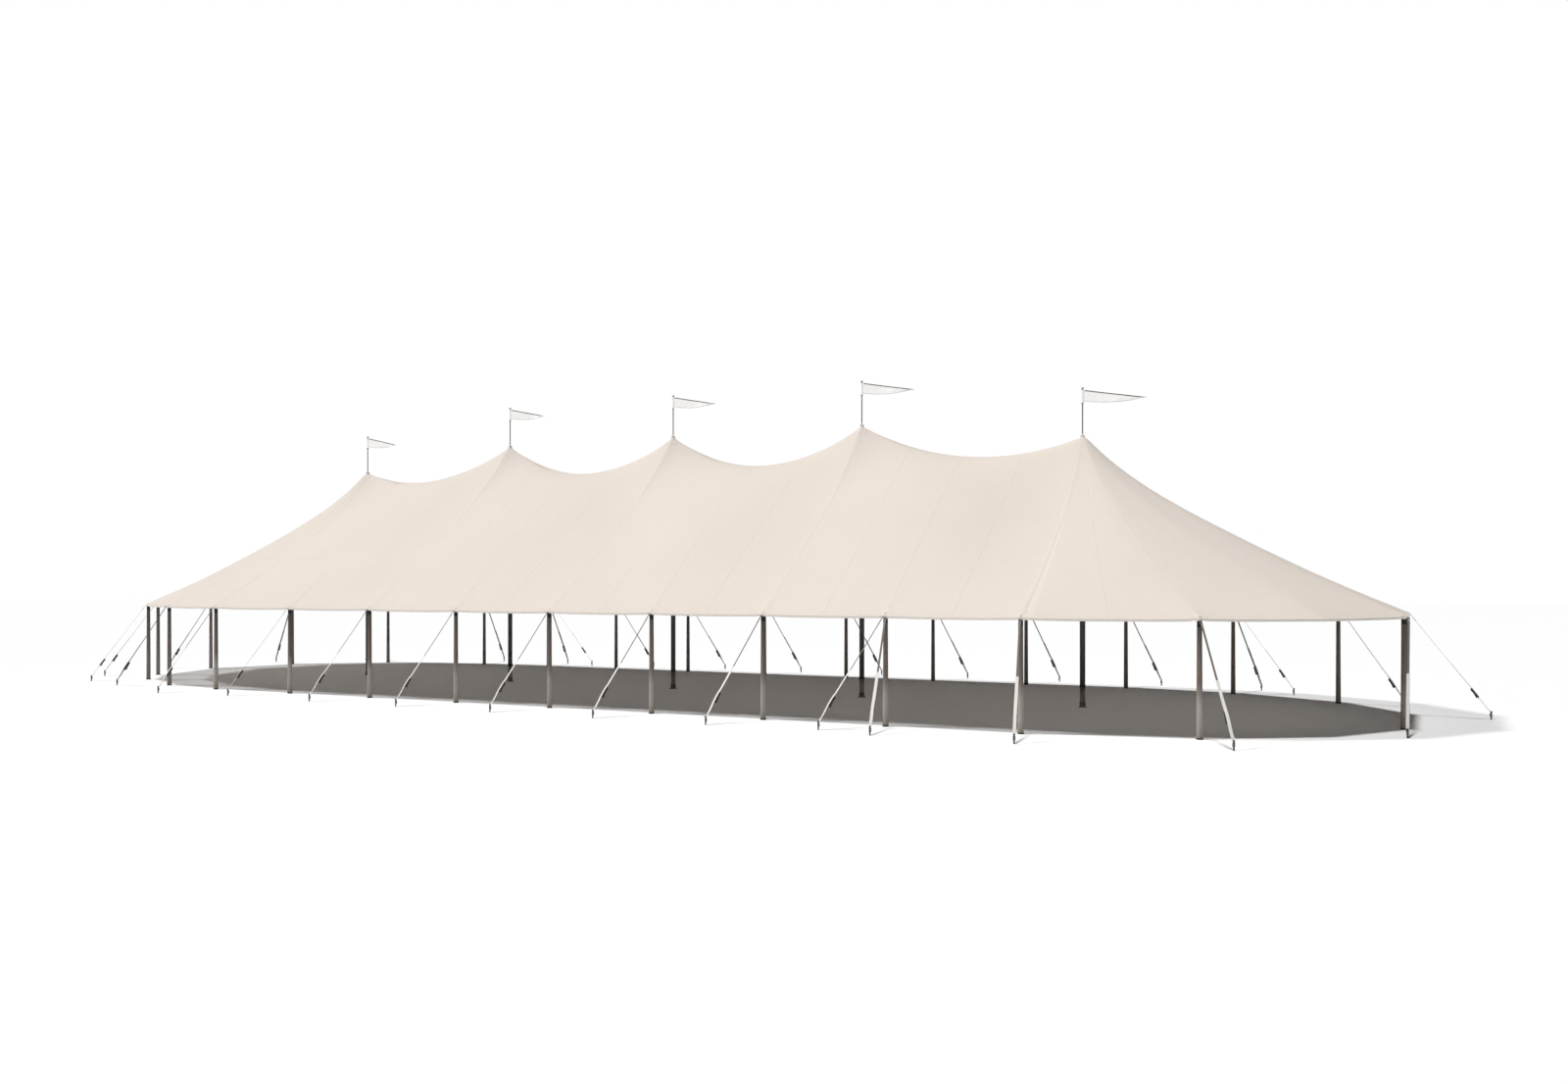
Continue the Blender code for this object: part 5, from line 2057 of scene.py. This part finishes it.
def pennantSpot(t, s, i):
    # t runs from the pole to the tip and s from the top edge down
    look = pennantShape
    start = look["sleeveOuter"] - 0.0006
    x = start + (look["length"] - start) * t
    y = look["wave"] * math.sin(math.tau * look["waves"] * t) * t
    a, b, c = look["ripples"]
    loose = t * (1 - 0.5 * t)
    y += a * math.sin(9 * t + 2.2 * s + i * 1.3) * loose * 1.6
    y += b * math.sin(17 * t - 3.0 * s + i * 2.1) * loose
    y += c * math.sin(31 * t + 5.0 * s + i) * loose * s
    return Vector((x, y, look["hoist"] - 0.0016 - droopAt(x) - depthAt(t) * s))


def pennantTape(i, edge):
    # a folded tape along one edge of the pennant, standing a little proud on both faces
    look, top = pennantShape, edge == "Top"
    points, uv, run, last, s = [], [], 0.0, None, 0.0 if top else 1.0
    for k in range(look["tapeSteps"] + 1):
        t = k / look["tapeSteps"]
        width = min(look["tape"][edge], depthAt(t) * 0.45) / depthAt(t)
        a, b = pennantSpot(t, s, i), pennantSpot(t, width if top else 1.0 - width, i)
        way = (pennantSpot(min(1, t + 0.01), s, i) - pennantSpot(max(0, t - 0.01), s, i)).normalized()
        out = way.cross(b - a).normalized()
        run += (a - last).length if last is not None else 0.0
        last = a
        lip = (a - b).normalized() * 0.0007
        for point, across in ((b + out * 0.0009, 0.004), (a + out * 0.0012, -0.004), (a + lip, -0.0045),
                              (a - out * 0.0012, -0.004), (b - out * 0.0009, 0.004)):
            points.append(point)
            uv.append((across, run))
    faces = tubeFaces(look["tapeSteps"] + 1, 5, turned=True)
    material = finish["hem" if top else "hemPale"]
    return facedOut(pieceFrom(f"pennant{edge}Tape_{i + 1}", points, faces, material, uv, sharp=60))


def pennantSleeve(i):
    # cloth led round the pole and sewn back on to the blade
    look = pennantShape
    middle, rows = (look["sleeveInner"] + look["sleeveOuter"]) / 2, look["sleeveRows"]
    turns = np.linspace(math.radians(24), math.tau - math.radians(24), 30)
    line = [(0.030, 0.0016), (0.021, 0.0026)] + [(middle * math.cos(t), middle * math.sin(t)) for t in turns]
    line += [(0.021, -0.0026), (0.030, -0.0016)]
    top, low = look["hoist"] - 0.0012, 0.0012
    spots, maps = [], []
    for x, y in line:
        for j in range(rows + 1):
            z = top + (low - top) * j / rows + 0.0010 * math.sin(x * 900 + j * 1.7)
            if x > middle:
                z = min(max(z, low + 0.010 * (x - middle) / 0.03), top - droopAt(x))
            spots.append((x, y, min(max(z, low), top)))
            maps.append((math.atan2(y, x) * middle, z))
    faces = quads(len(line), rows + 1)
    return pieceFrom(f"pennantSleeve_{i + 1}", spots, faces, finish["pennant"], maps, "cloth")


def makePennant(i):
    look = pennantShape
    x, peak = masts[i]
    columns, rows = look["columns"], look["rows"]
    place = Matrix.Translation((x, 0, sleeveFoot(peak) + tent["gap"]))
    place = place @ Matrix.Rotation(math.radians(look["heading"]), 4, "Z")
    points = [pennantSpot(k / columns, j / rows, i) for k in range(columns + 1) for j in range(rows + 1)]
    faces, uv = quads(columns + 1, rows + 1), [(p.x, p.z) for p in points]
    blade = pieceFrom(f"pennantBlade_{i + 1}", points, faces, finish["pennant"], uv, "cloth")
    sleeve = pennantSleeve(i)
    for piece in (blade, sleeve):
        thicken(piece, look["thickness"], offset=0)
    tapes = [pennantTape(i, edge) for edge in look["tape"]]
    sewn, (out, aside) = [], look["stitchAt"]
    for j in range(13):
        for beside in (-1, 1):
            z = 0.012 + (look["hoist"] - 0.030) * j / 12
            turn = turnTo((0, 0, 1), place.to_3x3() @ Vector((0, beside, 0)))
            sewn.append((place @ Vector((out, beside * aside, z)), turn))
    for piece in (blade, sleeve, *tapes):
        piece.data.transform(place)
    return blade, sleeve, tapes, stitched(f"pennantStitches_{i + 1}", sewn, size=0.75, seed=9)


pennants = [makePennant(i) for i in mastNumbers]
print("pennants sewn")

for shape in patterns:
    bpy.data.objects.remove(shape, do_unlink=True)


# who rides on what

def onTent(slot, *pieces):
    for piece in pieces:
        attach(piece, "tent")


for number, (piece, node) in enumerate(zip(canopy, clothNodes)):
    thicken(piece, canopyLook["thickness"]).use_even_offset = True
    onTent("sailcloth", piece, seams[number])
    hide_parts(node)
for piece, threads in list(patched.values()) + peaked:
    onTent("sailcloth", piece, threads)
onTent("guy_webbing", *belted, *laced)
for side, (band, threads) in eaves.items():
    onTent("guy_webbing", band, threads)
    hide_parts(f"guys_{side}")
    onTent("guy_webbing", *guys[side].values())
    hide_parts(f"guys_{side}")
for piece, node in sidePoles:
    onTent("side_pole_wood", piece)
    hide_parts(node)
onTent("side_pole_wood", *poleFittings)
for i, (pole, fittings) in enumerate(mastPieces):
    onTent("mast_wood", pole, fittings)
    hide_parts(f"centre_pole_{i + 1}")
onTent("mast_wood", bolts)
for i, (pole, cap) in enumerate(flagpoles):
    onTent("flagpole_metal", pole, cap)
    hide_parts(f"flagpole_{i + 1}")
onTent("flagpole_metal", screws)
for i, (blade, sleeve, tapes, threads) in enumerate(pennants):
    for piece in (blade, sleeve, *tapes, threads):
        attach(piece, f"pennant_{i + 1}_body")
    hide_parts(f"pennant_{i + 1}")
print("pieces ride on their bodies")


# floor and light

def paleFloor():
    tone = studio["floorTone"]
    made, shader, place = newFinish("paleFloor", tone)
    speck = noise(place, 3.0, 4.0)
    feed(shader.inputs["Base Color"], tint(speck, [c * 0.99 for c in tone], [c * 1.01 for c in tone]))
    shader.inputs["Roughness"].default_value = 0.95
    shader.inputs["Specular IOR Level"].default_value = 0.1
    half = studio["floorSize"]
    corners = [(-half, -half, 0), (half, -half, 0), (half, half, 0), (-half, half, 0)]
    pieceFrom("studioFloor", corners, [(0, 1, 2, 3)], made)


def softLight():
    for name, (power, softness, source) in studio["suns"].items():
        sunData = bpy.data.lights.new(name + "Sun", "SUN")
        sunData.energy = power
        sunData.angle = math.radians(softness)
        sunData.color = studio["sunTone"]
        sun = inScene(name + "Sun", sunData)
        sun.rotation_euler = Vector(source).to_track_quat("Z", "Y").to_euler()
    world = bpy.data.worlds.new("paleStudio")
    world.use_nodes = True
    tree = world.node_tree
    back = tree.nodes["Background"]
    seen = put(tree, "ShaderNodeLightPath").outputs["Is Camera Ray"]
    feed(back.inputs["Color"], tint(seen, studio["skyTone"], (1, 1, 1)))
    feed(back.inputs["Strength"], span(seen, 0.0, 1.0, studio["skyFill"], 1.0))
    bpy.context.scene.world = world
    bpy.context.scene.view_settings.view_transform = "Standard"


paleFloor()
softLight()
print("studio lit")
